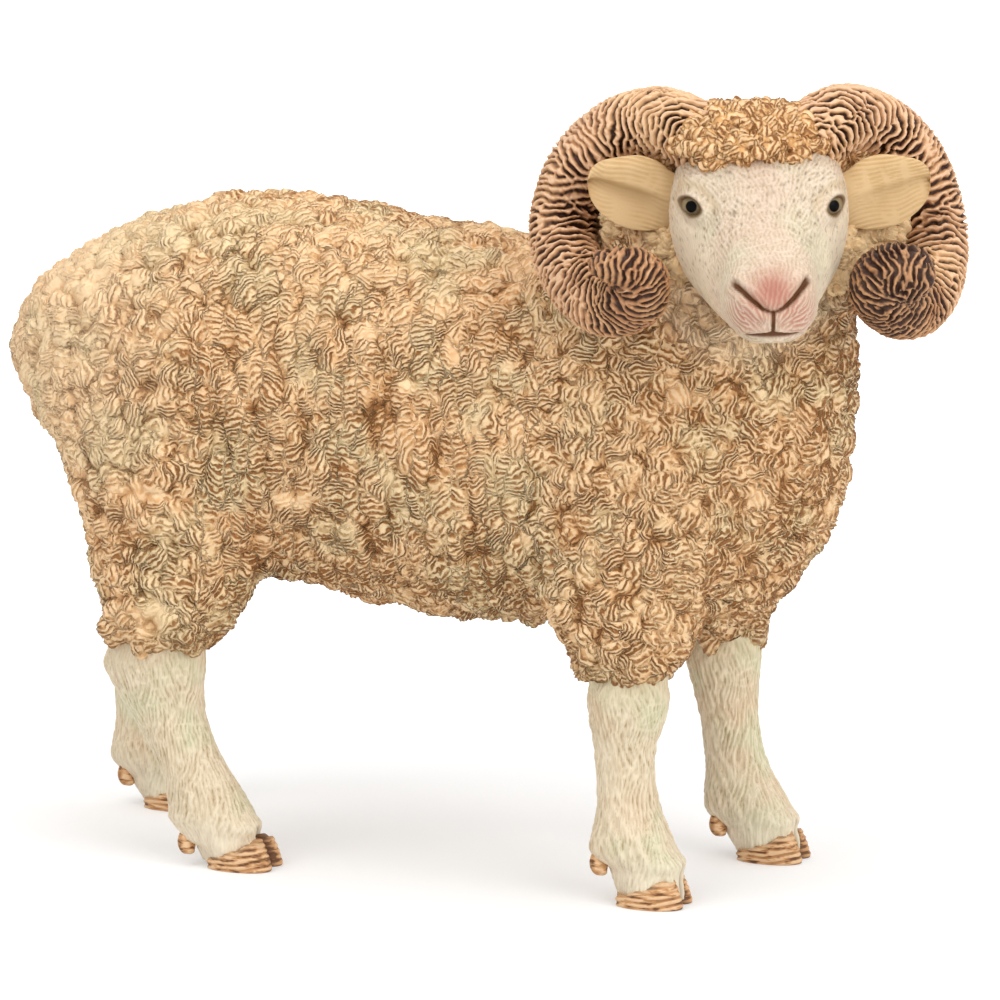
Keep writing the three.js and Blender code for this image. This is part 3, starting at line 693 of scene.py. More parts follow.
class SharedEffects:
    """The shader node groups that more than one paint uses. Scales are in waves to the metre."""

    uneven_scale: float = 900.0
    broad_scale: float = 260.0
    broad_rough: float = 0.16
    fine_rough: float = 0.14
    least_rough: float = 0.42

    def __init__(self) -> None:
        """Builds both groups."""
        self.wash = self.build_wash_and_shade()
        self.grain = self.build_grain()

    @staticmethod
    def sockets(tree: bpy.types.NodeTree, inputs: dict[str, str], outputs: dict[str, str]) -> None:
        """Gives a group its named inputs and outputs.

        Args:
            tree: the group.
            inputs: the name and the kind of each input.
            outputs: the name and the kind of each output.
        """
        for label, kind in inputs.items():
            tree.interface.new_socket(label, in_out="INPUT", socket_type=f"NodeSocket{kind}")
        for label, kind in outputs.items():
            tree.interface.new_socket(label, in_out="OUTPUT", socket_type=f"NodeSocket{kind}")

    def build_wash_and_shade(self) -> bpy.types.NodeTree:
        """A thin dark wash in the hollows, which also paints the shade there, with the crests dry-brushed.

        Returns:
            The group, with a colour out of a paint, a wash and painted shade colour, a highlight, how deep
            the hollow is, how strong the wash and shade are, and a place for the unevenness of the hand.
        """
        tree = bpy.data.node_groups.new("wash_in_hollows", "ShaderNodeTree")
        inputs = dict.fromkeys(("Paint", "Wash", "Light"), "Color")
        inputs |= {"Hollow": "Float", "Strength": "Float", "Place": "Vector"}
        self.sockets(tree, inputs, {"Color": "Color"})
        graph = Graph(tree)
        given = graph.add("NodeGroupInput").outputs
        uneven = graph.noise(given["Place"], self.uneven_scale, 3.0)
        shifted = graph.line(graph.sum("SUBTRACT", uneven, 0.5), 0.5, given["Hollow"])
        # Painted shade: the wash colour darkens the deeper hollows, where shade would fall, as well as
        # being the toy's own wash.
        deep = graph.sum("MULTIPLY", graph.between(shifted, 0.3, 1.0), given["Strength"], clamp=True)
        high = graph.sum("SUBTRACT", 1.0, graph.between(shifted, 0.0, 0.35))
        washed_and_shaded = graph.blend(deep, given["Paint"], given["Wash"])
        brushed = graph.blend(graph.sum("MULTIPLY", high, 0.55), washed_and_shaded, given["Light"])
        graph.feed(graph.add("NodeGroupOutput").inputs["Color"], brushed)
        return tree

    def build_grain(self) -> bpy.types.NodeTree:
        """The faint unevenness of moulded plastic under matt paint.

        Returns:
            The group, with a height for a bump and a roughness, out of a place and a scale.
        """
        tree = bpy.data.node_groups.new("moulded_grain", "ShaderNodeTree")
        self.sockets(tree, {"Place": "Vector", "Scale": "Float"}, {"Height": "Float", "Roughness": "Float"})
        graph = Graph(tree)
        given = graph.add("NodeGroupInput").outputs
        fine = graph.noise(given["Place"], 1.0, 3.0)
        graph.feed(fine.node.inputs["Scale"], given["Scale"])
        broad = graph.noise(given["Place"], self.broad_scale, 2.0)
        result = graph.add("NodeGroupOutput").inputs
        graph.feed(result["Height"], fine)
        rough = graph.line(fine, self.fine_rough, graph.sum("MULTIPLY", broad, self.broad_rough))
        graph.feed(result["Roughness"], graph.sum("ADD", rough, self.least_rough))
        return tree


@dataclass(frozen=True)
class Paint:
    """A painted finish: a base that drifts between tints, a wash with painted shade in the hollows
    and a light brush.

    Scales are in waves to the metre, and the depth of the bump is in metres.
    """

    name: str
    tints: tuple[Triple, ...]
    wash: Triple
    light: Triple
    wash_and_shade_strength: float = 0.9
    drift: float = 90.0
    grain: float = 5200.0
    bump: float = 0.25
    bump_depth: float = 0.00006
    specular: float = 0.35
    streak: Triple | None = None
    streak_wash: float = 0.45
    streak_bump: float = 2.5
    ribs: bool = False
    rib_break: float = 1500.0
    rib_wander: float = 1.2
    rib_power: float = 1.5
    rib_least: float = 0.1
    rib_range: float = 2.3
    rib_bump: float = 2.6
    grain_depth: float = 1.0

    def tinted(self, graph: Graph, place: bpy.types.NodeSocket) -> object:
        """The base colour, which drifts from tint to tint; each tint's noise is read somewhere else.

        Args:
            graph: the paint's graph.
            place: the place on the piece.

        Returns:
            The colour.
        """
        base: object = (*self.tints[0], 1.0)
        for turn, tint in enumerate(self.tints[1:]):
            elsewhere = graph.add("ShaderNodeVectorMath", operation="ADD")
            graph.feed(elsewhere.inputs[0], place)
            elsewhere.inputs[1].default_value = (0.37 * (turn + 1), 0.11, 0.53 * turn)
            soft = graph.noise(elsewhere.outputs[0], self.drift * (1 + 0.6 * turn), 2.5)
            base = graph.blend(graph.between(soft, 0.46, 0.66), base, (*tint, 1.0))
        return base

    def crimped(self, graph: Graph, place: bpy.types.NodeSocket) -> bpy.types.NodeSocket:
        """The dark gaps between crimps: a narrowed wave on the mesh's own count, broken by noise.

        Args:
            graph: the paint's graph.
            place: the place on the piece.

        Returns:
            How dark and deep the gap is, from 0 upwards.
        """
        wander = graph.sum("MULTIPLY", graph.noise(place, self.rib_break, 2.0), self.rib_wander)
        turns = graph.sum("ADD", graph.kept("rib"), wander)
        wave = graph.sum("COSINE", graph.sum("MULTIPLY", turns, 2 * math.pi))
        valley = graph.sum("SUBTRACT", 0.5, graph.sum("MULTIPLY", wave, 0.5))
        narrow = graph.sum("POWER", valley, self.rib_power)
        broken = graph.line(graph.noise(place, self.rib_break, 3.0), self.rib_range, self.rib_least)
        return graph.sum("MULTIPLY", graph.sum("MULTIPLY", narrow, broken), graph.kept("ribbed"))

    def make(self, effects: SharedEffects, marks: dict[str, Triple] | None = None) -> bpy.types.Material:
        """Builds the material.

        Args:
            effects: the shared node groups.
            marks: colours painted over the rest, each where the mesh keeps that name's number.

        Returns:
            The material.
        """
        material, graph, shader = new_material(self.name)
        place = graph.place()
        grain = graph.add("ShaderNodeGroup", node_tree=effects.grain)
        graph.feed(grain.inputs["Place"], place)
        graph.feed(grain.inputs["Scale"], self.grain)
        height = graph.sum("MULTIPLY", grain.outputs["Height"], self.grain_depth)
        hollow = graph.kept("hollow")
        if self.streak:
            stretched = graph.add("ShaderNodeVectorMath", operation="MULTIPLY")
            graph.feed(stretched.inputs[0], place)
            stretched.inputs[1].default_value = self.streak
            hair = graph.noise(stretched.outputs[0], 1.0, 2.0, 0.6)
            drawn = graph.sum("MULTIPLY", graph.between(hair, 0.48, 0.68), self.streak_wash)
            hollow = graph.sum("ADD", hollow, drawn, clamp=True)
            height = graph.sum("SUBTRACT", height, graph.sum("MULTIPLY", hair, self.streak_bump))
        if self.ribs:
            crimp = self.crimped(graph, place)
            hollow = graph.sum("ADD", hollow, crimp, clamp=True)
            height = graph.sum("SUBTRACT", height, graph.sum("MULTIPLY", crimp, self.rib_bump))
        # The wash in the hollows, which also paints the shade there.
        washed_and_shaded = graph.add("ShaderNodeGroup", node_tree=effects.wash)
        given = {"Paint": self.tinted(graph, place), "Wash": (*self.wash, 1.0), "Light": (*self.light, 1.0)}
        given |= {"Hollow": hollow, "Strength": self.wash_and_shade_strength, "Place": place}
        for label, source in given.items():
            graph.feed(washed_and_shaded.inputs[label], source)
        colour = washed_and_shaded.outputs["Color"]
        for label, mark in (marks or {}).items():
            colour = graph.blend(graph.kept(label), colour, (*mark, 1.0))
        bump = graph.add("ShaderNodeBump")
        bump.inputs["Strength"].default_value = self.bump
        bump.inputs["Distance"].default_value = self.bump_depth
        graph.feed(bump.inputs["Height"], height)
        graph.feed(shader.inputs["Base Color"], colour)
        graph.feed(shader.inputs["Roughness"], grain.outputs["Roughness"])
        graph.feed(shader.inputs["Normal"], bump.outputs["Normal"])
        shader.inputs["Specular IOR Level"].default_value = self.specular
        return material


def dress(piece: bpy.types.Object, material: bpy.types.Material, slot: str, *nodes: str) -> None:
    """Paints a piece, lets it ride on the figure's one body and has it stand for its CAD nodes."""
    piece.data.materials.clear()
    piece.data.materials.append(material)
    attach(piece, "root")
    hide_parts(*nodes)
    LOG.info("%s: %d faces", piece.name, len(piece.data.polygons))


# The fleece


@dataclass
class Fleece:
    """The wool of the body, neck and tail. Sizes are in millimetres; tables repeat the CAD's shares."""

    rump: float = -46.9
    length: float = 88.2
    back: float = 67.0
    width: float = 33.0
    seam: Triple = (18.0, 0.0, 48.6)
    seam_tilt: float = math.radians(30.5)
    egg: float = 0.07
    lock: Tufts = Tufts(size=1.48, turn=1.5, seed=22)
    column: Tufts = Tufts(size=1.38, turn=0.75, seed=21, squeeze=0.42)
    flank_edge: Swell = Swell(height=0.25, size=2.2, seed=17)
    broad_swell: Swell = Swell(height=0.3, size=7.5, seed=51)
    close_swell: Swell = Swell(height=0.22, size=3.2, seed=52)
    hem_swell: Swell = Swell(height=1.0, size=1.7, seed=53)
    warp: float = 0.44
    tuft_height: float = 0.85
    crimp_pitch: float = 0.49
    crimp_height: float = 0.26
    crimp_fade: Swell = Swell(height=0.3, size=2.4, seed=54)
    voxel: float = 0.68
    split: float = -9.0
    triangles: int = 800000
    torso: Array = table(
        [0, 0.735, 0.8, 0.2], [0.014, 0.695, 0.84, 0.4], [0.035, 0.655, 0.875, 0.58],
        [0.07, 0.605, 0.907, 0.74], [0.12, 0.53, 0.941, 0.88], [0.185, 0.46, 0.976, 0.95],
        [0.26, 0.432, 0.998, 0.98], [0.36, 0.424, 1, 0.97], [0.47, 0.397, 0.98, 0.97],
        [0.58, 0.383, 0.962, 0.97], [0.68, 0.387, 0.935, 0.94], [0.77, 0.38, 0.908, 0.87],
        [0.855, 0.385, 0.895, 0.78], [0.925, 0.445, 0.905, 0.62], [0.972, 0.545, 0.9, 0.42],
        [0.994, 0.645, 0.88, 0.23], [1, 0.71, 0.84, 0.12],
    )
    limbs: dict[str, Array] = tables(
        rear_right=[
            [0.328, 0.213, 0.062, 0.33, 0.15], [0.385, 0.228, 0.081, 0.325, 0.17],
            [0.445, 0.235, 0.099, 0.31, 0.192], [0.52, 0.237, 0.118, 0.29, 0.22],
            [0.62, 0.226, 0.134, 0.27, 0.24], [0.74, 0.222, 0.128, 0.23, 0.25],
            [0.84, 0.23, 0.1, 0.18, 0.2],
        ],
        rear_left=[
            [0.328, 0.124, 0.064, 0.33, 0.15], [0.385, 0.136, 0.083, 0.325, 0.17],
            [0.445, 0.15, 0.105, 0.31, 0.192], [0.52, 0.162, 0.131, 0.29, 0.22],
            [0.62, 0.18, 0.155, 0.27, 0.24], [0.74, 0.21, 0.13, 0.23, 0.25],
            [0.84, 0.225, 0.1, 0.18, 0.2],
        ],
        front_right=[
            [0.328, 0.782, 0.048, 0.34, 0.135], [0.375, 0.777, 0.067, 0.335, 0.155],
            [0.43, 0.778, 0.09, 0.325, 0.177], [0.52, 0.782, 0.112, 0.3, 0.2],
            [0.64, 0.782, 0.126, 0.265, 0.223], [0.76, 0.755, 0.115, 0.225, 0.22],
            [0.85, 0.73, 0.08, 0.15, 0.18],
        ],
        front_left=[
            [0.328, 0.805, 0.046, 0.34, 0.13], [0.375, 0.803, 0.06, 0.335, 0.152],
            [0.43, 0.8, 0.082, 0.325, 0.175], [0.52, 0.797, 0.106, 0.3, 0.2],
            [0.64, 0.787, 0.126, 0.265, 0.223], [0.76, 0.757, 0.115, 0.225, 0.22],
            [0.85, 0.73, 0.08, 0.15, 0.18],
        ],
    )
    neck: Array = table(
        [16.19, 0.0, 49.65, 14.25, 15.75], [21.98, -0.24, 55.32, 13.8, 14.55],
        [27.41, -0.96, 60.78, 13.2, 12.6], [31.94, -3.0, 64.77, 13.5, 10.5],
        [33.84, -6.0, 66.24, 13.95, 9.3],
    )
    tail: Array = table(
        [0.5, -0.85, 0.3, 0.25], [0.4, -0.5, 0.45, 0.42], [0.2, -0.08, 0.5, 0.5], [0, 0.08, 0.5, 0.5],
        [-0.2, 0.06, 0.5, 0.46], [-0.4, -0.04, 0.42, 0.36], [-0.5, -0.2, 0.25, 0.2],
    )
    tail_sizes: tuple[float, float, float, float] = (10.0, 3.0, 6.0, 50.9)
    tail_voxel: float = 0.5
    tail_relief: float = 0.8
    near_head: Lump = ((0.0, 0.0, -3.0), (8.0, 9.5, 10.5))

    def torso_shell(self) -> Skin:
        """The barrel: superellipses from rump to breast, a little narrower towards the back line."""
        rows = spline(self.torso, 80)
        low, high = rows[:, 1] * self.back, rows[:, 2] * self.back
        middles = columns(self.rump + rows[:, 0] * self.length, 0.0, (low + high) / 2)
        halves = columns(rows[:, 3] * self.width / 2, (high - low) / 2)
        grid = rings(middles, LEFT, UP, halves, 64, 2.25)
        grid[..., 1] *= 1 - self.egg * (grid[..., 2] - middles[:, None, 2]) / halves[:, None, 1]
        return tube(grid)

    def limb_shell(self, name: str, side: Side) -> Skin:
        """One upper limb: level superellipses from the wool's lower edge up into the barrel."""
        rows = spline(self.limbs[name], 40)
        x = self.rump + rows[:, 1] * self.length
        middles = columns(x, side.value * rows[:, 3] * self.width, rows[:, 0] * self.back)
        halves = columns(rows[:, 2] * self.length, rows[:, 4] * self.width)
        return tube(rings(middles, AHEAD, LEFT, halves, 48, 2.25))

    def neck_shell(self) -> Skin:
        """The neck: ellipses square to a line that bends up to the head."""
        rows = spline(self.neck, 40)
        middles = rows[:, :3]
        way = unit(np.gradient(middles, axis=0))
        across = unit(np.cross(UP, way))
        return tube(rings(middles, across, np.cross(way, across), rows[:, 3:], 64))

    def seam_way(self) -> Array:
        """The direction square to the neck seam, towards the head."""
        return np.array([math.cos(self.seam_tilt), 0.0, math.sin(self.seam_tilt)])

    def relief(self, points: Array, normals: Array) -> tuple[Array, dict[str, Array]]:
        """The wool: overlapping tufts with crimps across them, tall on the flank and round elsewhere.

        Formula: each tuft's dome, raised by the cosine of its crimps, over broad and low clouds. The
        paint gets the crimps' own count, so that it can draw them finer than the mesh.

        Args:
            points: points of the smooth fleece.
            normals: their unit normals.

        Returns:
            How far each point is raised in millimetres, and the numbers that the paint reads.
        """
        seam = np.array(self.seam)
        chest = ramp(-3, 3, (points - seam) @ self.seam_way())
        flank = ramp(-26, -17, points[:, 0]) * (1 - ramp(10, 17, points[:, 0])) * (1 - chest)
        flank *= ramp(0.95, 0.6, np.abs(normals[:, 2]))
        ways = surface_ways(normals, np.array([0.25, 0.0, -1.0]))
        warp = drift(points, 1.5, range(11, 14)) + 0.55 * drift(points, 0.75, range(14, 17))
        moved = points + self.warp * warp
        on_flank = ramp(0.47, 0.53, flank + self.flank_edge.at(points))
        tall = self.column.at(moved, ways, 0.0)
        plain = self.lock.at(moved, ways, 0.5 + 0.5 * chest)
        dome, clear = (on_flank * a + (1 - on_flank) * b for a, b in zip(tall[:2], plain[:2]))
        pick = on_flank > 0.5
        across, number = (np.where(pick, a, b) for a, b in zip(tall[2:], plain[2:]))
        rib = across / (self.crimp_pitch * (0.85 + 0.4 * number))
        crest = 0.5 + 0.5 * np.cos(2 * math.pi * rib)
        smooth = 0.75 * ramp(0.55, 0.85, clouds(points, 2.4, 41)) + 0.15 * ramp(0.75, 0.95, number)
        amount = np.clip(1 - smooth, 0, 1) * ramp(0.0, 0.16, clear)
        low = ramp(30, 24, points[:, 2]) * ramp(0.9, -0.2, normals[:, 2])
        height = self.tuft_height * np.clip(dome - 0.1, -0.6, 0.6) - 0.06 * ramp(0.12, 0.0, clear)
        height += self.crimp_height * amount * (crest - 0.5) + self.broad_swell.at(points)
        height += self.close_swell.at(points) + low * self.hem_swell.at(points * [1, 1, 0.4])
        # Painted light: the top of the rump is painted paler, and the wash is thinner there and on faces
        # that look up.
        rear = ramp(-20, -40, points[:, 0]) * ramp(30, 50, points[:, 2])
        lit = 1 - 0.4 * rear - 0.3 * ramp(0.3, 0.9, normals[:, 2])
        head_way = (HEAD.into(points) - np.array(self.near_head[0])) / np.array(self.near_head[1])
        near_head = ramp(1.45, 1.05, np.linalg.norm(head_way, axis=1))
        # Painted shade: darker on the chest and low down on the belly and flanks.
        painted_shade = 0.08 * chest * ramp(62, 40, points[:, 2]) + 0.25 * ramp(30, 18, points[:, 2])
        # The hollow mark paints the wash together with painted shade in the gaps between tufts and on the
        # lower tufts.
        marks = {
            "hollow": np.clip(0.16 * ramp(0.12, 0.0, clear) + 0.72 * ramp(0.1, -0.6, dome), 0, 1) * lit,
            "rib": rib,
            "ribbed": amount * (0.8 + self.crimp_fade.at(points)) * lit,
            "shade": np.clip(painted_shade, 0, 0.5),
            "pale_and_painted_light": 0.28 * rear + 0.5 * near_head,
        }
        return height, marks

    def build(self, paint: bpy.types.Material) -> None:
        """Builds the body in four parts, the neck in two and the tail, and dresses them.

        Args:
            paint: the material of the wool.
        """
        shells = [self.torso_shell(), self.neck_shell()]
        shells += [self.limb_shell(name, Side.of(name)) for name in self.limbs]
        points, quads = fused(shells, self.voxel, 6, 2)
        normals = normals_of(points, quads)
        height, marks = self.relief(points, normals)
        whole = put("helper_fleece", (points + height[:, None] * normals, quads.tolist()), marks)
        LOG.info("whole fleece: %d faces", len(quads))
        thinned(whole, self.triangles)
        seam = np.array(self.seam)
        neck = cut_off(whole, "helper_neck", seam, -self.seam_way())
        body = cut_off(whole, "helper_body", seam, self.seam_way())
        drop(whole)
        for side in Side:
            half = cut_off(neck, f"neck_wool_{side.word}", np.zeros(3), -side.value * LEFT)
            dress(half, paint, "fleece", "neck_fleece")
        drop(neck)
        halfway = self.split * AHEAD
        for end, way in (("rear", 1.0), ("front", -1.0)):
            half = cut_off(body, "helper_half", halfway, way * AHEAD)
            for side in Side:
                quarter = cut_off(half, f"body_wool_{end}_{side.word}", np.zeros(3), -side.value * LEFT)
                dress(quarter, paint, "fleece", "body_fleece")
            drop(half)
        drop(body)
        self.build_tail(paint)

    def build_tail(self, paint: bpy.types.Material) -> None:
        """Builds the docked tail: a flat tab of the same wool against the rump.

        Args:
            paint: the material of the wool.
        """
        long, thick, wide, high = self.tail_sizes
        rows = spline(self.tail, 40)
        middles = columns(self.rump - rows[:, 1] * thick, 0.0, high + rows[:, 0] * long)
        halves = columns(rows[:, 2] * thick, rows[:, 3] * wide)
        shell = tube(rings(middles, AHEAD, LEFT, halves, 48, 2.25))
        points, quads = fused([shell], self.tail_voxel, 3, 1)
        normals = normals_of(points, quads)
        height, marks = self.relief(points, normals)
        lift = self.tail_relief * height[:, None] * normals
        tail = put("tail_wool", (points + lift, quads.tolist()), marks)
        dress(tail, paint, "fleece", "tail")


# The head


def ball(middle: Array, radii: Array, count: int = 24) -> Skin:
    """An ellipsoid of level rings, as a closed skin."""
    rise = np.linspace(-math.pi / 2, math.pi / 2, count + 2)[1:-1]
    middles = middle + np.sin(rise)[:, None] * radii[2] * UP
    halves = np.cos(rise)[:, None] * radii[None, :2]
    return tube(rings(middles, AHEAD, LEFT, halves, 2 * count))


def mirrored(lumps: tuple[Lump, ...]) -> list[Skin]:
    """A ball for each lump, given as its middle and radii, and its mirror image across the head."""
    pairs = itertools.product(lumps, Side)
    return [ball(np.array(middle) * [1, side.value, 1], np.array(radii)) for (middle, radii), side in pairs]


@dataclass
class Head:
    """The skull and muzzle with lids, nostrils and mouth. Sizes are in millimetres in the head's frame."""

    length: float = 23.7
    width: float = 17.6
    height: float = 18.2
    rows: Array = table(
        [-0.4, 0, 0.2, 0.2], [-0.375, 0, 0.34, 0.34], [-0.27, -0.02, 0.46, 0.46],
        [-0.17, -0.05, 0.5, 0.5], [-0.06, -0.09, 0.5, 0.47], [0.04, -0.15, 0.47, 0.415],
        [0.15, -0.23, 0.415, 0.355], [0.25, -0.3, 0.345, 0.3], [0.36, -0.35, 0.285, 0.262],
        [0.46, -0.395, 0.24, 0.25], [0.54, -0.42, 0.185, 0.22], [0.58, -0.435, 0.125, 0.16],
        [0.6, -0.445, 0.06, 0.08],
    )
    bumps: tuple[Lump, ...] = (
        ((-1.2, 5.2, 2.0), (3.6, 2.9, 2.2)),
        ((9.6, 2.15, -8.1), (3.6, 2.6, 2.6)),
        ((2.0, 3.7, -4.6), (5.2, 3.0, 3.3)),
    )
    chin: Lump = ((9.6, 0.0, -9.9), (3.5, 2.7, 1.4))
    nose_line: Array = table(
        [12.3, -3.75, -5.6], [13.27, -2.92, -6.2], [13.91, -2.0, -7.0], [14.22, -1.0, -7.8],
        [14.3, 0, -8.2], [14.22, 1.0, -7.7], [13.91, 1.9, -6.9], [13.27, 2.75, -6.0], [12.3, 3.4, -5.3],
    )
    lip_line: Array = table(
        [14.3, 0, -8.1], [14.2, 0, -9.0], [13.9, 0, -10.1],
    )
    mouth_line: Array = table(
        [12.5, -2.4, -10.5], [13.3, -1.2, -10.45], [13.8, 0, -10.32], [13.4, 1.2, -10.4],
        [12.8, 2.5, -10.35],
    )
    seen: Triple = (0.0, 1.0, 1.0)
    eye: Triple = (1.1, 6.76, 0.3)
    eye_gaze: float = math.radians(27)
    eye_reach: float = 4.0
    lid: tuple[float, float] = (1.36, 0.82)
    lid_tilt: float = 0.2
    almond: float = 1.6
    lid_depth: float = 1.5
    lid_rise: float = 0.24
    lid_sink: float = 0.18
    pink_at: Triple = (13.6, 0.0, -6.1)
    hair: Strands = Strands(pitch=0.42, patch=1.2, turn=0.45, height=0.09, seed=61)
    fleck_cell: float = 0.85
    fleck_share: float = 0.7
    fleck_wide: float = 0.09
    fleck_deep: float = 0.45
    voxel: float = 0.62
    nose_wide: tuple[float, float] = (0.15, 0.17)
    nose_depth: float = 0.5
    lip_wide: float = 0.2
    lip_depth: float = 0.28
    mouth_wide: tuple[float, float] = (0.13, 0.2)
    mouth_depth: float = 0.34

    def shells(self) -> list[Skin]:
        """The skull's taper with brows, cheeks, lips and a chin laid into it."""
        rows = spline(self.rows, 60)
        middles = columns(rows[:, 0] * self.length, 0.0, rows[:, 1] * self.height)
        halves = columns(rows[:, 3] * self.width, rows[:, 2] * self.height)
        parts = [tube(rings(middles, LEFT, UP, halves, 64, 2.2))]
        parts += [ball(np.array(self.chin[0]), np.array(self.chin[1])), *mirrored(self.bumps)]
        return [(HEAD.out(points), faces) for points, faces in parts]

    def lid_place(self, place: Array, side: Side) -> tuple[Array, Array]:
        """How far points are from an eye's middle, in almond sizes, and the way that the eye looks.

        Formula: the power 1.6 of the shares across and up, which gives the almond its corners.

        Args:
            place: points in the head's frame.
            side: which eye.

        Returns:
            The distances, 1 on the lids' edge, and the unit direction.
        """
        gaze = np.array([math.cos(self.eye_gaze), side.value * math.sin(self.eye_gaze), 0.06])
        gaze /= np.linalg.norm(gaze)
        across = unit(np.cross(UP, gaze))
        way = place - np.array(self.eye) * [1, side.value, 1]
        level, high = way @ across, way @ UP
        tilted = high - self.lid_tilt * side.value * level
        almond = np.abs(level / self.lid[0]) ** self.almond + np.abs(tilted / self.lid[1]) ** self.almond
        near = np.linalg.norm(way, axis=1) < self.eye_reach
        return np.where(near, almond ** (1 / self.almond), FAR), gaze

    def lids(self, place: Array) -> tuple[Array, Array, Array, Array]:
        """The almonds that hold the eyes, pressed in along the way they look, each with a raised rim.

        Args:
            place: points in the head's frame.

        Returns:
            The way that each point is pressed in, in the modelling frame; how far it is raised; the
            painted rim; and the distance from the nearer eye, in almond sizes.
        """
        pressed = np.zeros_like(place)
        lift = np.zeros(len(place))
        rim = np.zeros(len(place))
        around = np.full(len(place), FAR)
        for side in Side:
            almond, gaze = self.lid_place(place, side)
            around = np.minimum(around, almond)
            pressed += self.lid_depth * (1 - ramp(0.84, 1.0, almond))[:, None] * (gaze @ HEAD.matrix().T)
            lift += self.lid_rise * bell((almond - 1.3) / 0.3) - self.lid_sink * bell((almond - 2.4) / 0.5)
            rim = np.maximum(rim, ramp(1.5, 1.15, almond))
        return pressed, lift, rim, around

    def lines(self, place: Array) -> tuple[Array, Array, Array]:
        """The grooves of nostrils, lip and mouth, each with a low bank beside it.

        Args:
            place: points in the head's frame.

        Returns:
            How far each point is raised, the painted line, and the shade at the nostrils' ends.
        """
        far, along = stroke(place, self.nose_line)
        ends = np.abs(2 * along - 1)
        wide = self.nose_wide[0] + self.nose_wide[1] * ends**0.8
        ahead = ramp(11.0, 9.5, place[:, 0])
        lip_far = stroke(place * self.seen, self.lip_line * self.seen)[0] + ahead
        mouth_far, mouth_along = stroke(place * self.seen, self.mouth_line * self.seen)
        mouth_far = mouth_far + ahead
        mouth_wide = self.mouth_wide[0] + self.mouth_wide[1] * (1 - np.abs(2 * mouth_along - 1))
        line = np.maximum(ramp(1.35, 0.7, far / wide), ramp(1.3, 0.7, lip_far / self.lip_wide))
        line = np.maximum(line, ramp(1.2, 0.7, mouth_far / mouth_wide))
        lift = 0.25 * bell((far - 0.75) / 0.4) + 0.2 * bell((mouth_far - 0.6) / 0.3)
        lift -= self.nose_depth * bell(far / wide) + self.lip_depth * bell(lip_far / 0.16)
        lift -= self.mouth_depth * bell(mouth_far / mouth_wide)
        return lift, line, 0.5 * ramp(2.4, 1.0, far / wide) * ends**5

    def flecks(self, points: Array, ways: Ways, normals: Array) -> Array:
        """Short dark dashes along the hair, at most one in each cell.

        Args:
            points: points of the smooth head in the modelling frame.
            ways: the unit directions along and across the hair at each point.
            normals: the unit normals.

        Returns:
            How dark each point is, from 0 to 1.
        """
        fleck = np.zeros(len(points))
        for way, numbers in scattered(points, self.fleck_cell, 63, 2):
            across = dot(way, ways[1]) / self.fleck_wide
            along = dot(way, ways[0]) / (0.14 + 0.16 * numbers[:, 1])
            depth = dot(way, normals) / self.fleck_deep
            spot = np.exp(-(across**2) - along**2 - depth**2)
            fleck = np.maximum(fleck, (numbers[:, 0] < self.fleck_share) * spot)
        return fleck

    def relief(self, points: Array, normals: Array) -> tuple[Array, dict[str, Array]]:
        """Lids, nostrils, mouth and short hair.

        Formula: each drawn line is a bell-shaped groove of the distance from it; each eye is an
        almond pressed in, with a raised rim; the hair is fine strands that fan out from the nose.

        Args:
            points: points of the smooth head in the modelling frame.
            normals: their unit normals.

        Returns:
            The moved points, and the numbers that the paint reads.
        """
        place = HEAD.into(points)
        pressed, lift, rim, around_eyes = self.lids(place)
        raised, line, halo = self.lines(place)
        pads = bell(np.linalg.norm((np.abs(place) - [12.6, 2.5, 8.7]) / [3.2, 2.3, 1.9], axis=1))
        fan = columns(-0.6, 0.16 * place[:, 1], 1.0)
        spray = columns(-2.0, 1.2 * place[:, 1], place[:, 2] + 11.3)
        near_pads = ramp(0.2, 0.5, pads)[:, None]
        fan = unit(unit(fan) * (1 - near_pads) + unit(spray) * near_pads)
        first, second = surface_ways(normals, fan @ HEAD.matrix().T)
        hair, clear = self.hair.at(points, (second, first))
        amount = ramp(0.1, 0.5, clear) * (1 - np.clip(line + rim, 0, 1))
        lift += raised + self.hair.height * amount * (hair - 0.5)
        fleck = self.flecks(points, (first, second), normals)
        brow = bell((np.abs(place[:, 1]) - 4.3) / 3.2) * bell((place[:, 2] - 0.5) / 4.5)
        fleck *= (0.45 + 0.55 * brow) * ramp(10, 7, place[:, 0]) * ramp(1.6, 2.2, around_eyes)
        pink = bell(np.linalg.norm((place - np.array(self.pink_at)) / [2.6, 2.2, 2.1], axis=1))
        blush = 0.16 * bell(place[:, 1] / 2.4) * ramp(-7, 2, place[:, 2])
        # Painted light: the lower sides of the face are painted paler, where they turn away from the lamps.
        sides = ramp(3.8, 7.6, np.abs(place[:, 1])) * ramp(2.0, -5.0, place[:, 2])
        jaw = ramp(-10.4, -11.6, place[:, 2]) + ramp(9, 3, place[:, 0]) * ramp(-5, -10, place[:, 2])
        brows = 0.45 * bell((around_eyes - 2.5) / 0.6) * ramp(-0.5, 1.0, place[:, 2])
        marks = {
            "hollow": np.clip(0.6 * amount * (1 - hair), 0, 1),
            "pale_and_painted_light": 0.75 * sides,
            "shade": np.clip(0.3 * jaw + brows, 0, 0.7) * (1 - line),
            "pink": np.clip(pink * (1.1 - 0.25 * hair) + blush + pads * (1.05 - 0.85 * hair), 0, 1),
            "fleck": np.clip(fleck * 1.5, 0, 0.8) * (1 - line),
            "rim": rim,
            "line": np.clip(line + halo, 0, 1),
        }
        return points - pressed + lift[:, None] * normals, marks

    def build(self, paint: bpy.types.Material) -> None:
        """Builds the head and dresses it."""
        points, quads = fused(self.shells(), self.voxel, 4, 2)
        points, marks = self.relief(points, normals_of(points, quads))
        head = put("ram_head", (points, quads.tolist()), marks)
        dress(head, paint, "face", "head")


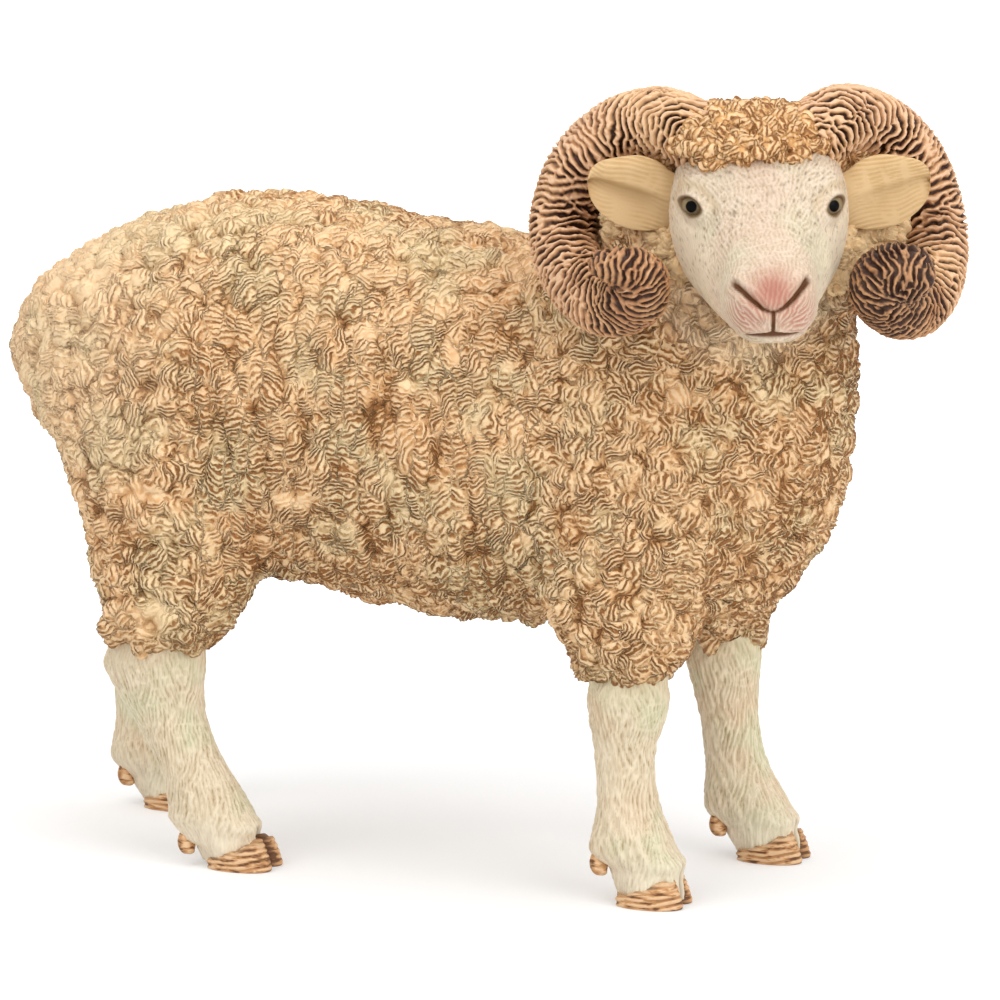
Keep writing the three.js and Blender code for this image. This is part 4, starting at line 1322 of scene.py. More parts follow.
@dataclass
class Eyes:
    """Two glossy painted eyes, set back between the lids."""

    radius: float = 1.7
    back: float = 0.52
    out: float = 6.12
    up: float = 0.2

    def build(self, head: Head, paint: bpy.types.Material) -> None:
        """Builds both balls, each with its angle from the way that it looks kept for the paint.

        Args:
            head: the head, which knows where the eyes look.
            paint: the material of the eyes.
        """
        for side in Side:
            name = side.word
            middle = np.array([-self.back, side.value * self.out, self.up])
            points, faces = ball(middle, np.full(3, self.radius), 40)
            gaze = np.array([math.cos(head.eye_gaze), side.value * math.sin(head.eye_gaze), 0.03])
            angle = np.arccos(np.clip(unit(points - middle) @ unit(gaze), -1, 1))
            eye = put(f"{name}_painted_eye", (HEAD.out(points), faces), {"angle": angle})
            dress(eye, paint, "eye", f"{name}_eye")


@dataclass
class PollWool:
    """The golden curls between the horns, over the forehead and behind the ears."""

    seat: float = 4.9
    high: float = 5.0
    wide: float = 16.2
    deep: float = 11.0
    shift: float = -0.9
    curl: Tufts = Tufts(size=0.98, turn=1.5, seed=74)
    fringe_edge: Swell = Swell(height=0.9, size=2.1, seed=76)
    fringe_ends: Swell = Swell(height=0.4, size=0.9, seed=77)
    curl_height: float = 0.8
    crest_height: float = 0.28
    warp: float = 0.42
    crimp: tuple[float, float] = (0.4, 0.16)
    voxel: float = 0.58
    triangles: int = 190000
    rows: Array = table(
        [0, -0.3, 0.5, 0.5], [0.25, -0.32, 0.52, 0.5], [0.5, -0.34, 0.48, 0.46],
        [0.75, -0.36, 0.38, 0.37], [0.92, -0.37, 0.24, 0.24], [1, -0.38, 0.1, 0.1],
    )
    fringe: Lump = ((-1.4, -1.1, 5.4), (4.4, 6.4, 2.8))
    cheeks: tuple[Lump, ...] = (
        ((-7.0, 8.2, 3.4), (2.4, 3.2, 3.0)),
        ((-7.6, 10.0, -2.6), (2.7, 5.2, 4.8)),
        ((-5.6, 8.0, -5.2), (3.3, 2.9, 4.0)),
        ((-8.3, 2.8, 4.3), (2.9, 4.4, 3.0)),
    )

    def shells(self) -> list[Skin]:
        """The cap, the fringe and the tufts of cheeks and nape as overlapping closed skins."""
        rows = spline(self.rows, 30)
        middles = columns(rows[:, 1] * self.deep, self.shift, self.seat + rows[:, 0] * self.high)
        halves = columns(rows[:, 2] * self.deep, rows[:, 3] * self.wide)
        parts = [tube(rings(middles, AHEAD, LEFT, halves, 64))]
        parts += [ball(np.array(self.fringe[0]), np.array(self.fringe[1])), *mirrored(self.cheeks)]
        return [(HEAD.out(points), faces) for points, faces in parts]

    def build(self, paint: bpy.types.Material) -> None:
        """Builds the curls: small tufts turned every way, with a ragged fringe.

        Args:
            paint: the material of the curls.
        """
        points, quads = fused(self.shells(), self.voxel, 3, 2)
        normals = normals_of(points, quads)
        place = HEAD.into(points)
        ways = surface_ways(normals, np.array([0.2, -0.5, -1.0]))
        moved = points + self.warp * drift(points, 1.1, range(71, 74))
        dome, clear, across, number = self.curl.at(moved, ways, 0.9)
        rib = across / (self.crimp[0] + self.crimp[1] * number)
        crest = 0.5 + 0.5 * np.cos(2 * math.pi * rib)
        amount = ramp(0.0, 0.16, clear)
        height = self.curl_height * np.clip(dome - 0.1, -0.6, 0.6)
        height += self.crest_height * amount * (crest - 0.5) - 0.15 * ramp(0.12, 0.0, clear)
        ragged = ramp(6.4, 4.4, place[:, 2]) * ramp(-4, -1, place[:, 0])
        height += ragged * (self.fringe_edge.at(points) + self.fringe_ends.at(points) - 0.25)
        cheek = ramp(4.0, 1.0, place[:, 2])
        # The hollow mark paints the wash together with painted shade in the gaps between curls and on the
        # lower curls.
        hollow = np.clip(0.45 * ramp(0.16, 0.0, clear) + 0.45 * ramp(0.1, -0.5, dome), 0, 1)
        marks = {
            "hollow": hollow * (1 - 0.3 * cheek),
            "rib": rib,
            "ribbed": 0.85 * amount * (1 - 0.35 * cheek),
            "pale_and_painted_light": 0.75 * cheek,
        }
        wool = put("poll_curls", (points + height[:, None] * normals, quads.tolist()), marks)
        thinned(wool, self.triangles)
        dress(wool, paint, "poll_wool", "poll_wool")


@dataclass
class Horns:
    """Two ribbed tubes that coil round the ears. The path's numbers are shares of the span."""

    span: float = 18.0
    radius: float = 3.55
    ribs: Strands = Strands(pitch=0.74, patch=1.9, turn=0.42, height=0.56, seed=90)
    fine_ribs: Strands = Strands(pitch=0.45, patch=1.0, turn=0.7, height=0.27, seed=91)
    uneven: Swell = Swell(height=0.5, size=2.6, seed=92)
    root_turn: float = 1.1
    under_ribs: float = 0.2
    warp: float = 0.34
    root: float = 1.2
    steps: int = 300
    tip: int = 10
    sides: int = 56
    voxel: float = 0.5
    block: int = 20000
    turn_steps: int = 55
    triangles: int = 165000
    coil_dark: dict[str, float] = by_name(right=0.32, left=0.55)
    paths: dict[str, Array] = tables(
        right=[
            [-0.25, 0.31, 0.345], [-0.33, 0.46, 0.41], [-0.43, 0.6, 0.408], [-0.52, 0.78, 0.32],
            [-0.57, 0.94, 0.145], [-0.57, 1.02, -0.06], [-0.48, 1.03, -0.26], [-0.28, 0.95, -0.44],
            [-0.11, 0.822, -0.523], [0.022, 0.712, -0.494], [0.128, 0.65, -0.409], [0.194, 0.675, -0.325],
            [0.217, 0.761, -0.285], [0.189, 0.855, -0.277], [0.133, 0.926, -0.268],
        ],
        left=[
            [-0.25, 0.29, 0.36], [-0.33, 0.41, 0.42], [-0.43, 0.55, 0.42], [-0.52, 0.71, 0.335],
            [-0.57, 0.85, 0.185], [-0.57, 0.94, -0.02], [-0.48, 0.975, -0.235], [-0.27, 0.925, -0.455],
            [-0.1, 0.807, -0.54], [0.022, 0.708, -0.511], [0.122, 0.638, -0.433], [0.189, 0.641, -0.359],
            [0.222, 0.706, -0.323], [0.217, 0.797, -0.319], [0.178, 0.891, -0.314],
        ],
    )
    taper: dict[str, Array] = tables(
        right=[
            [0, 1.02], [0.15, 1.0], [0.45, 0.97], [0.7, 0.95], [0.82, 0.9], [0.88, 0.76], [0.93, 0.6],
            [0.97, 0.46], [1, 0.3],
        ],
        left=[
            [0, 1.02], [0.15, 1.0], [0.45, 0.97], [0.7, 0.97], [0.85, 0.95], [0.93, 0.86], [0.97, 0.72],
            [1, 0.5],
        ],
    )

    @staticmethod
    def coil(corners: Array, count: int) -> Array:
        """A smooth line through corners, in steps of equal length.

        Formula: a cubic between each two corners, whose end slopes come from the three chords round
        it, each chord's time being the square root of its length.

        Args:
            corners: the points to pass through.
            count: how many points to return.

        Returns:
            The points on the line.
        """
        p = np.vstack([2 * corners[0] - corners[1], corners, 2 * corners[-1] - corners[-2]])
        chord = np.sqrt(np.linalg.norm(np.diff(p, axis=0), axis=1))[:, None]
        share = np.linspace(0, len(corners) - 1, count * 8)
        at = np.minimum(share.astype(int), len(corners) - 2)
        t = (share - at)[:, None]
        a, b, c, d = p[at], p[at + 1], p[at + 2], p[at + 3]
        e, f, g = chord[at], chord[at + 1], chord[at + 2]
        leave = ((b - a) / e - (c - a) / (e + f) + (c - b) / f) * f
        arrive = ((c - b) / f - (d - b) / (f + g) + (d - c) / g) * f
        square, cube = -3 * b + 3 * c - 2 * leave - arrive, 2 * b - 2 * c + leave + arrive
        line = b + leave * t + square * t**2 + cube * t**3
        run = np.concatenate([[0], np.cumsum(np.linalg.norm(np.diff(line, axis=0), axis=1))])
        even = np.linspace(0, run[-1], count)
        return np.stack([np.interp(even, run, line[:, axis]) for axis in range(3)], axis=-1)

    def shell(self, name: str, side: Side) -> tuple[Skin, Array, Array, Array]:
        """One smooth horn: a round tube on its coil.

        Args:
            name: right or left, as the tables have it.
            side: the same as a sign of Y.

        Returns:
            The tube, the middles of its rings, their radii, and their places along it from 0 to 1.
        """
        middle = self.coil(self.paths[name] * [1, side.value, 1] * self.span, self.steps)
        root = middle[0] - unit(middle[1] - middle[0]) * np.array([[2 * self.root], [self.root]])
        middle = HEAD.out(np.vstack([root, middle]))
        place = np.concatenate([[0, 0], np.linspace(0, 1, self.steps)])
        way = unit(np.gradient(middle, axis=0))
        ahead = HEAD.matrix() @ AHEAD
        first = unit(ahead - (way @ ahead)[:, None] * way)
        at, share = self.taper[name].T
        radius = self.radius * np.interp(place, at, share) - self.under_ribs
        radius[-self.tip :] *= np.sqrt(1 - np.linspace(0, 0.95, self.tip) ** 2)
        grid = rings(middle, first, np.cross(way, first), columns(radius, radius), self.sides)
        return tube(grid), middle, radius, place

    def stations(self, points: Array, middle: Array, radius: Array) -> tuple[Array, Array]:
        """The ring that each point belongs to, and how near the coil's next turn is.

        Formula: the nearest ring by distance over radius, and the smallest such number among the
        rings that are more than a good part of a turn away; points are taken a block at a time.

        Args:
            points: points of the horn's skin.
            middle: the middles of the rings.
            radius: their radii.

        Returns:
            The number of each point's ring, and its distance to the next turn in radii.
        """
        steps = np.arange(len(middle))
        station = np.zeros(len(points), dtype=int)
        again = np.full(len(points), FAR)
        for start in range(0, len(points), self.block):
            part = slice(start, start + self.block)
            far = np.linalg.norm(points[part, None, :] - middle[None], axis=2) / np.maximum(radius, 0.8)
            station[part] = far.argmin(axis=1)
            apart = np.abs(steps[None] - station[part, None])
            again[part] = np.where(apart > self.turn_steps, far, FAR).min(axis=1)
        return station, again

    def build(self, paint: bpy.types.Material) -> None:
        """Builds both horns and dresses them.

        Formula: a round tube on the coil, fused where the coil meets itself, with strands across it
        for ribs and finer ones on the ribs; near the root the ribs on top turn along the horn. Each
        point takes its direction and its place from the ring whose surface is nearest.

        Args:
            paint: the material of the horns.
        """
        for side in Side:
            name = side.word
            skin, middle, radius, place = self.shell(name, side)
            points, quads = fused([skin], self.voxel, 2, 2)
            normals = normals_of(points, quads)
            station, again = self.stations(points, middle, radius)
            way = unit(np.gradient(middle, axis=0))[station]
            along = place[station]
            ways = surface_ways(normals, way)
            top = ramp(-0.1, 0.6, normals[:, 2])
            turn = side.value * self.root_turn * ramp(0.27, 0.05, along) * top
            seed = 81 + side.value
            warp = drift(points, 1.6, range(seed, seed + 7, 3))
            warp += 0.45 * drift(points, 0.7, range(seed + 1, seed + 8, 3))
            moved = points + self.warp * warp
            crest, clear = self.ribs.at(moved, ways, turn)
            fine, fine_clear = self.fine_ribs.at(moved, ways, turn)
            ridge = 1 - (1 - crest) ** 1.7
            strong = ramp(0.02, 0.3, clear) * np.clip(0.85 + self.uneven.at(points), 0.3, 1.15)
            inner = ramp(0.9, -0.5, dot(normals, unit(points - middle.mean(axis=0))))
            crease = ramp(1.45, 1.08, again)
            lift = self.ribs.height * (0.8 + 0.4 * inner) * strong * (ridge - 0.66)
            lift += self.fine_ribs.height * (fine - 0.5) * fine_clear
            # Painted shade: the wash is stronger on faces turned into the coil and in the creases where the
            # coil meets itself; the lower coil is painted darker and the part near the root lighter.
            hollow = (1.35 + 0.35 * inner) * strong * (1 - crest) ** 1.1 + 0.34 * fine_clear * (1 - fine)
            darker = 0.14 * inner + self.coil_dark[name] * ramp(0.62, 0.82, along)
            darker -= 0.14 * ramp(0.45, 0.15, along) + 0.15
            marks = {"hollow": np.clip(hollow + 0.5 * crease + darker, 0, 1)}
            horn = put(f"{name}_ribbed_horn", (points + lift[:, None] * normals, quads.tolist()), marks)
            thinned(horn, self.triangles)
            dress(horn, paint, "horn", f"{name}_horn")


@dataclass
class Ears:
    """Two cupped leaves with fine hair, each with its root inside the head."""

    length: float = 8.4
    width: float = 7.0
    thick: float = 1.1
    cup: float = 0.9
    out: float = 8.2
    up: float = 0.4
    back: float = 4.0
    lean: float = 0.1
    fold: tuple[float, float] = (-0.1, 0.5)
    fold_depth: dict[str, float] = by_name(right=0.42, left=0.22)
    # Painted shade laid over the whole of the right ear.
    painted_shade: dict[str, float] = by_name(right=0.25, left=0.0)
    hair: Strands = Strands(pitch=0.42, patch=2.6, turn=0.14, height=0.07, seed=101)
    sides: int = 130
    rows: Array = table(
        [-0.3, 0, 0.22, 1], [0, 0, 0.36, 1], [0.18, 0.05, 0.47, 1], [0.4, 0.09, 0.52, 0.95],
        [0.64, 0.12, 0.47, 0.85], [0.84, 0.18, 0.36, 0.75], [0.95, 0.22, 0.22, 0.55],
        [0.99, 0.24, 0.08, 0.3],
    )

    def build(self, paint: bpy.types.Material) -> None:
        """Builds both ears.

        Formula: flat ellipses on a line that leans forward, pressed back along the middle; the part
        above a slanting fold stands forward of the part below it.

        Args:
            paint: the material of the ears.
        """
        angle = np.linspace(0, 2 * math.pi, self.sides, endpoint=False)
        for side in Side:
            name = side.word
            rows = spline(self.rows, self.sides)
            out = rows[:, :1]
            x = -self.back + rows[:, 0] * self.length * self.lean
            y = side.value * (self.out + rows[:, 0] * self.length)
            middles = columns(x, y, self.up + rows[:, 1] * self.width)
            halves = columns(rows[:, 2] * self.width, rows[:, 3] * self.thick / 2)
            grid = rings(middles, UP, AHEAD, halves, self.sides)
            off = np.cos(angle)[None, :]
            fold = off - self.fold[0] - self.fold[1] * out
            lobe = ramp(-0.14, 0.1, fold)
            deep = ramp(-0.1, 0.45, out)
            strength = self.fold_depth[name]
            stand = lobe * ramp(1.05, 0.6, off) - 0.5 * (1 - lobe) * bell((fold + 0.3) / 0.4)
            grid[..., 0] -= self.cup * deep * (1 - off * off)
            grid[..., 0] += strength * deep * stand
            points = HEAD.out(grid.reshape(-1, 3))
            facing = np.tile(np.sign(np.sin(angle) + 1e-9), len(rows))
            flat = np.repeat(rows[:, 0], self.sides)
            turned = HEAD.matrix()
            length_way = np.tile(turned @ np.array([0, side.value * 0.96, 0.28]), (len(points), 1))
            width_way = np.tile(turned @ np.array([0, -side.value * 0.28, 0.96]), (len(points), 1))
            warped = points + 0.5 * drift(points, 2.4, range(102, 105))
            hair, clear = self.hair.at(warped, (width_way, length_way))
            amount = ramp(0.1, 0.5, clear) * ramp(-0.1, 0.1, flat)
            lift = self.hair.height * amount * (hair - 0.5) * facing
            moved = points + lift[:, None] * (turned @ AHEAD)
            pit = ((1 - lobe) * bell((fold + 0.12) / 0.35) * deep).reshape(-1)
            pit = pit * (facing > 0) * strength / 0.7
            root = ramp(0.25, 0.0, flat)
            lower = np.tile(ramp(0.0, -0.6, np.cos(angle)), len(rows))
            shade = 1.2 * pit + 0.3 * root + 0.25 * lower + self.painted_shade[name]
            marks = {
                "hollow": np.append(np.clip(0.3 * amount * (1 - hair), 0, 1), [0.3, 0.2]),
                "shade": np.append(np.clip(shade, 0, 1), [0, 0]),
            }
            ear = put(f"{name}_haired_ear", tube(moved.reshape(grid.shape)), marks)
            dress(ear, paint, "ear", f"{name}_ear")


# The legs


@dataclass
class Legs:
    """Four haired lower legs on cloven hooves with dewclaws. Tables follow the CAD's shares."""

    rump: float = -46.9
    body: float = 88.2
    top: float = 22.0
    wide: float = 7.6
    track: float = 22.4
    claw_long: float = 3.5
    claw_wide: float = 1.72
    claw_out: float = 1.58
    claw_cover: dict[str, float] = by_name(
        front_right=0.9, front_left=1.25, rear_right=1.65, rear_left=1.55
    )
    heel: float = 1.2
    toe: float = 2.9
    lean: float = 1.1
    claw_shift: dict[str, tuple[float, float]] = by_name(
        front_right=(0.5, -0.45),
        front_left=(-0.25, -0.15),
        rear_right=(0.15, -1.1),
        rear_left=(-0.05, -0.25),
    )
    nub: Triple = (0.9, 0.8, 1.15)
    hair: Strands = Strands(pitch=0.46, patch=2.1, turn=0.4, height=0.14, seed=114)
    clumps: Strands = Strands(pitch=1.1, patch=1.8, turn=0.8, height=0.2, seed=117)
    grain: Strands = Strands(pitch=0.6, patch=1.4, turn=0.3, height=0.22, seed=122)
    bone_swell: Swell = Swell(height=0.16, size=3.2, seed=116)
    rim_swell: Swell = Swell(height=0.22, size=0.7, seed=121)
    nub_swell: Swell = Swell(height=0.14, size=0.6, seed=131)
    notch_depth: float = 0.8
    leg_rings: int = 180
    leg_sides: int = 190
    hoof_levels: int = 44
    hoof_sides: int = 150
    feet: dict[str, float] = by_name(
        front_right=0.8152, front_left=0.8719, rear_right=0.3175, rear_left=0.1225
    )
    rows: dict[str, Array] = tables(
        front_right=[
            [1, -0.114, 0.5, 0.48], [0.91, -0.114, 0.52, 0.49], [0.82, -0.118, 0.475, 0.46],
            [0.7, -0.128, 0.39, 0.4], [0.55, -0.125, 0.375, 0.38], [0.41, -0.112, 0.425, 0.41],
            [0.28, -0.082, 0.515, 0.455], [0.17, -0.045, 0.55, 0.46], [0.04, -0.02, 0.52, 0.44],
        ],
        front_left=[
            [1, -0.243, 0.5, 0.48], [0.91, -0.238, 0.49, 0.49], [0.8, -0.226, 0.43, 0.46],
            [0.66, -0.21, 0.385, 0.4], [0.52, -0.192, 0.395, 0.38], [0.41, -0.165, 0.44, 0.41],
            [0.28, -0.122, 0.54, 0.455], [0.17, -0.082, 0.59, 0.46], [0.04, -0.03, 0.53, 0.44],
        ],
        rear_right=[
            [1, -0.425, 0.66, 0.5], [0.91, -0.435, 0.69, 0.5], [0.82, -0.415, 0.615, 0.47],
            [0.68, -0.365, 0.51, 0.41], [0.54, -0.295, 0.465, 0.39], [0.44, -0.24, 0.465, 0.41],
            [0.31, -0.175, 0.53, 0.45], [0.19, -0.12, 0.555, 0.46], [0.04, -0.06, 0.53, 0.44],
        ],
        rear_left=[
            [1, -0.055, 0.65, 0.5], [0.91, -0.075, 0.66, 0.5], [0.78, -0.11, 0.57, 0.47],
            [0.64, -0.14, 0.49, 0.41], [0.5, -0.155, 0.465, 0.39], [0.37, -0.145, 0.5, 0.41],
            [0.26, -0.125, 0.575, 0.45], [0.16, -0.088, 0.6, 0.46], [0.04, -0.04, 0.53, 0.44],
        ],
    )

    def foot(self, name: str) -> Array:
        """The middle of a hoof's sole."""
        x = self.rump + self.feet[name] * self.body
        return np.array([x, Side.of(name).value * self.track / 2, 0.0])

    def claw_at(self, name: str, side: Side) -> Array:
        """The middle of a dewclaw: the CAD's, moved by up to about a millimetre to suit the hair."""
        low, high = (np.array(corner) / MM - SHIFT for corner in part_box(f"{name}_dewclaw_{side.word}"))
        back, down = self.claw_shift[name]
        return np.array([low[0] + back, (low[1] + high[1]) / 2, (low[2] + high[2]) / 2 + down])

    def lobes(self, name: str, grid: Array) -> Array:
        """How far the hair stands out over the two dewclaws of a leg, at each point of its grid.

        Args:
            name: which leg.
            grid: the leg's rings of points.

        Returns:
            One number for each point.
        """
        points = grid.reshape(-1, 3)
        lobe = np.zeros(len(points))
        for side in Side:
            claw = self.claw_at(name, side)
            ring = np.abs(grid[:, 0, 2] - claw[2]).argmin()
            gap = max(grid[ring, :, 0].min() - claw[0] + self.claw_cover[name], 0.4)
            over = bell(np.linalg.norm((points - claw - [0, 0, 1.4])[:, 1:] / [1.35, 2.2], axis=1))
            lobe = np.maximum(lobe, gap * over * ramp(claw[2] - 0.3, claw[2] + 0.5, points[:, 2]))
        return lobe

    def build_leg(self, name: str, paint: bpy.types.Material) -> None:
        """One leg: ellipses from inside the wool to inside the hoof, with fine hair that runs down it.

        Formula: the hair is fine strands along the leg; a lobe stands out over each dewclaw, and the
        pastern is pressed in behind, under them, and along the middle of its front.

        Args:
            name: which leg.
            paint: the material of the hair.
        """
        seen = self.rows[name]
        ends = seen[0] + [0.16, 0, -0.03, -0.03], seen[-1] - [0.02, 0, 0.06, 0.06]
        rows = spline(np.vstack([ends[0], seen, ends[1]]), self.leg_rings)
        foot = self.foot(name)
        middles = columns(foot[0] + rows[:, 1] * self.top, foot[1], rows[:, 0] * self.top)
        grid = rings(middles, AHEAD, LEFT, rows[:, 2:] * self.wide, self.leg_sides)
        points = grid.reshape(-1, 3)
        normals = unit((grid - middles[:, None, :]).reshape(-1, 3))
        back = ramp(0.3, -0.8, normals[:, 0])
        front = ramp(0.3, 0.9, normals[:, 0])
        low = ramp(5.4, 3.2, points[:, 2])
        swell = self.bone_swell.at(points) - 0.6 * back * low - 0.3 * low
        swell += 0.5 * front * bell((points[:, 2] - 4.2) / 0.8)
        swell += self.lobes(name, grid) * back
        notch = bell((points[:, 1] - foot[1]) / 0.28) * front * ramp(4.6, 3.4, points[:, 2])
        first, second = surface_ways(normals, np.array([0.0, 0.0, -1.0]))
        warp = drift(points, 2.6, range(111, 114))
        hair, clear = self.hair.at(points + 0.4 * warp, (second, first))
        clump, strong = self.clumps.at(points * [1, 1, 0.8] + 0.3 * warp, (second, first))
        amount = ramp(0.1, 0.5, clear) * (1 - 0.6 * ramp(0, 0.6, clouds(points, 3.0, 115)))
        lift = swell + self.hair.height * amount * (hair - 0.5)
        lift += self.clumps.height * strong * (clump - 0.5)
        lift -= self.notch_depth * notch
        painted = {
            "hollow": np.clip(0.5 * amount * (1 - hair) ** 1.5 + 0.35 * strong * (1 - clump), 0, 1),
            "pale_and_painted_light": 0.5 * ramp(6.5, 3.0, points[:, 2]),
            "shade": 0.45 * ramp(19, 23, points[:, 2]),
            "cleft": notch,
        }
        marks = {label: np.append(numbers, [0, 0]) for label, numbers in painted.items()}
        grid = (points + lift[:, None] * normals).reshape(grid.shape)
        dress(put(f"{name}_haired_leg", tube(grid), marks), paint, "leg", f"{name}_leg")

    def build_hoof(self, name: str, paint: bpy.types.Material) -> None:
        """One hoof of two claws side by side, each with a flat sole and a wall that leans back.

        Formula: a squared ellipse at every level, moved back as it rises, most at the toe; the rim's
        height grows from heel to toe. Fine strands run level round the wall.

        Args:
            name: which leg.
            paint: the material of the horn.
        """
        foot = self.foot(name)
        share = np.concatenate([[0, 0, 0.02], np.linspace(0.05, 1, self.hoof_levels), [1.02, 1.0]])
        bulge = 0.97 + 0.03 * np.sin(np.linspace(0, 3.3, self.hoof_levels))
        inward = np.concatenate([[0.3, 0.88, 0.94], bulge, [0.75, 0.4]])
        shells, marks = [], {"hollow": [], "shade": []}
        for side in Side:
            middles = np.zeros((len(share), 3))
            halves = columns(inward * self.claw_long, inward * self.claw_wide)
            grid = rings(middles, AHEAD, LEFT, halves, self.hoof_sides, 2.3)
            x, y = grid[..., 0].copy(), grid[..., 1].copy()
            rise = self.heel + (self.toe - self.heel) * ramp(-1.0, 1.15, x / self.claw_long)
            flat = (grid + foot + side.value).reshape(-1, 3) * [1, 1, 0]
            jag = self.rim_swell.at(flat).reshape(x.shape)
            inner = ramp(0.2, -1.0, side.value * y / self.claw_wide)
            grid[..., 2] = share[:, None] * (rise + jag + 0.7 * inner * ramp(-1, 3, x))
            grid[..., 0] = x + 0.35 - self.lean * share[:, None] * ramp(-3.0, self.claw_long, x)
            bent = self.claw_out - 0.05 * ramp(0, self.claw_long, x) * x
            grid[..., 1] = y * (1 - 0.1 * ramp(0, self.claw_long, x)) + side.value * bent
            points = grid.reshape(-1, 3) + foot
            flat_way = columns(x / self.claw_long**2, y / self.claw_wide**2, 0.0)
            normals = unit(flat_way.reshape(-1, 3))
            ways = surface_ways(normals, np.array([0.12, 0.0, -1.0]))
            grain, clear = self.grain.at(points * [0.5, 0.5, 1], ways)
            wall = np.repeat(ramp(0.0, 0.06, share) * ramp(1.01, 0.97, share), self.hoof_sides)
            moved = points + (self.grain.height * wall * clear * (grain - 0.5))[:, None] * normals
            shells.append(tube(moved.reshape(grid.shape)))
            # The wash in the grain, with painted shade on the inner face of each claw, in the cleft between
            # them.
            dark = np.clip(1.1 * clear * ramp(0.65, 0.15, grain) + 0.95 * inner.reshape(-1), 0, 1)
            marks["hollow"].append(np.append(dark, [0.5, 0.5]))
            rim = np.repeat(ramp(0.8, 1.0, share), self.hoof_sides) * (1 - inner.reshape(-1))
            marks["shade"].append(np.append(0.4 * rim, [0, 0]))
        values = {label: np.concatenate(parts) for label, parts in marks.items()}
        dress(put(f"{name}_cloven_hoof", joined(shells), values), paint, "hoof", f"{name}_hoof")

    def build_claws(self, name: str, paint: bpy.types.Material) -> None:
        """Builds the two dewclaws behind a pastern: pear-shaped nubs that hang from the hair.

        Args:
            name: which leg.
            paint: the material of the horn.
        """
        for side in Side:
            node = f"{name}_dewclaw_{side.word}"
            points, faces = ball(np.zeros(3), np.array(self.nub), 26)
            points = points * (1 - 0.14 * points[:, 2:] * [1, 1, 0])
            points = points + self.nub_swell.at(points)[:, None] * unit(points)
            points[:, 0] -= 0.25 * points[:, 2]
            hollow = np.clip(0.25 - 0.6 * clouds(points, 0.5, 132), 0, 1)
            skin = (points + self.claw_at(name, side), faces)
            claw = put(f"{node}_nub", skin, {"hollow": hollow, "shade": 0 * hollow})
            dress(claw, paint, "hoof", node)

    def build(self, hair: bpy.types.Material, horn: bpy.types.Material) -> None:
        """Builds and dresses all four legs, with one material for hair and one for horn."""
        for name in self.rows:
            self.build_leg(name, hair)
            self.build_hoof(name, horn)
            self.build_claws(name, horn)


# The studio


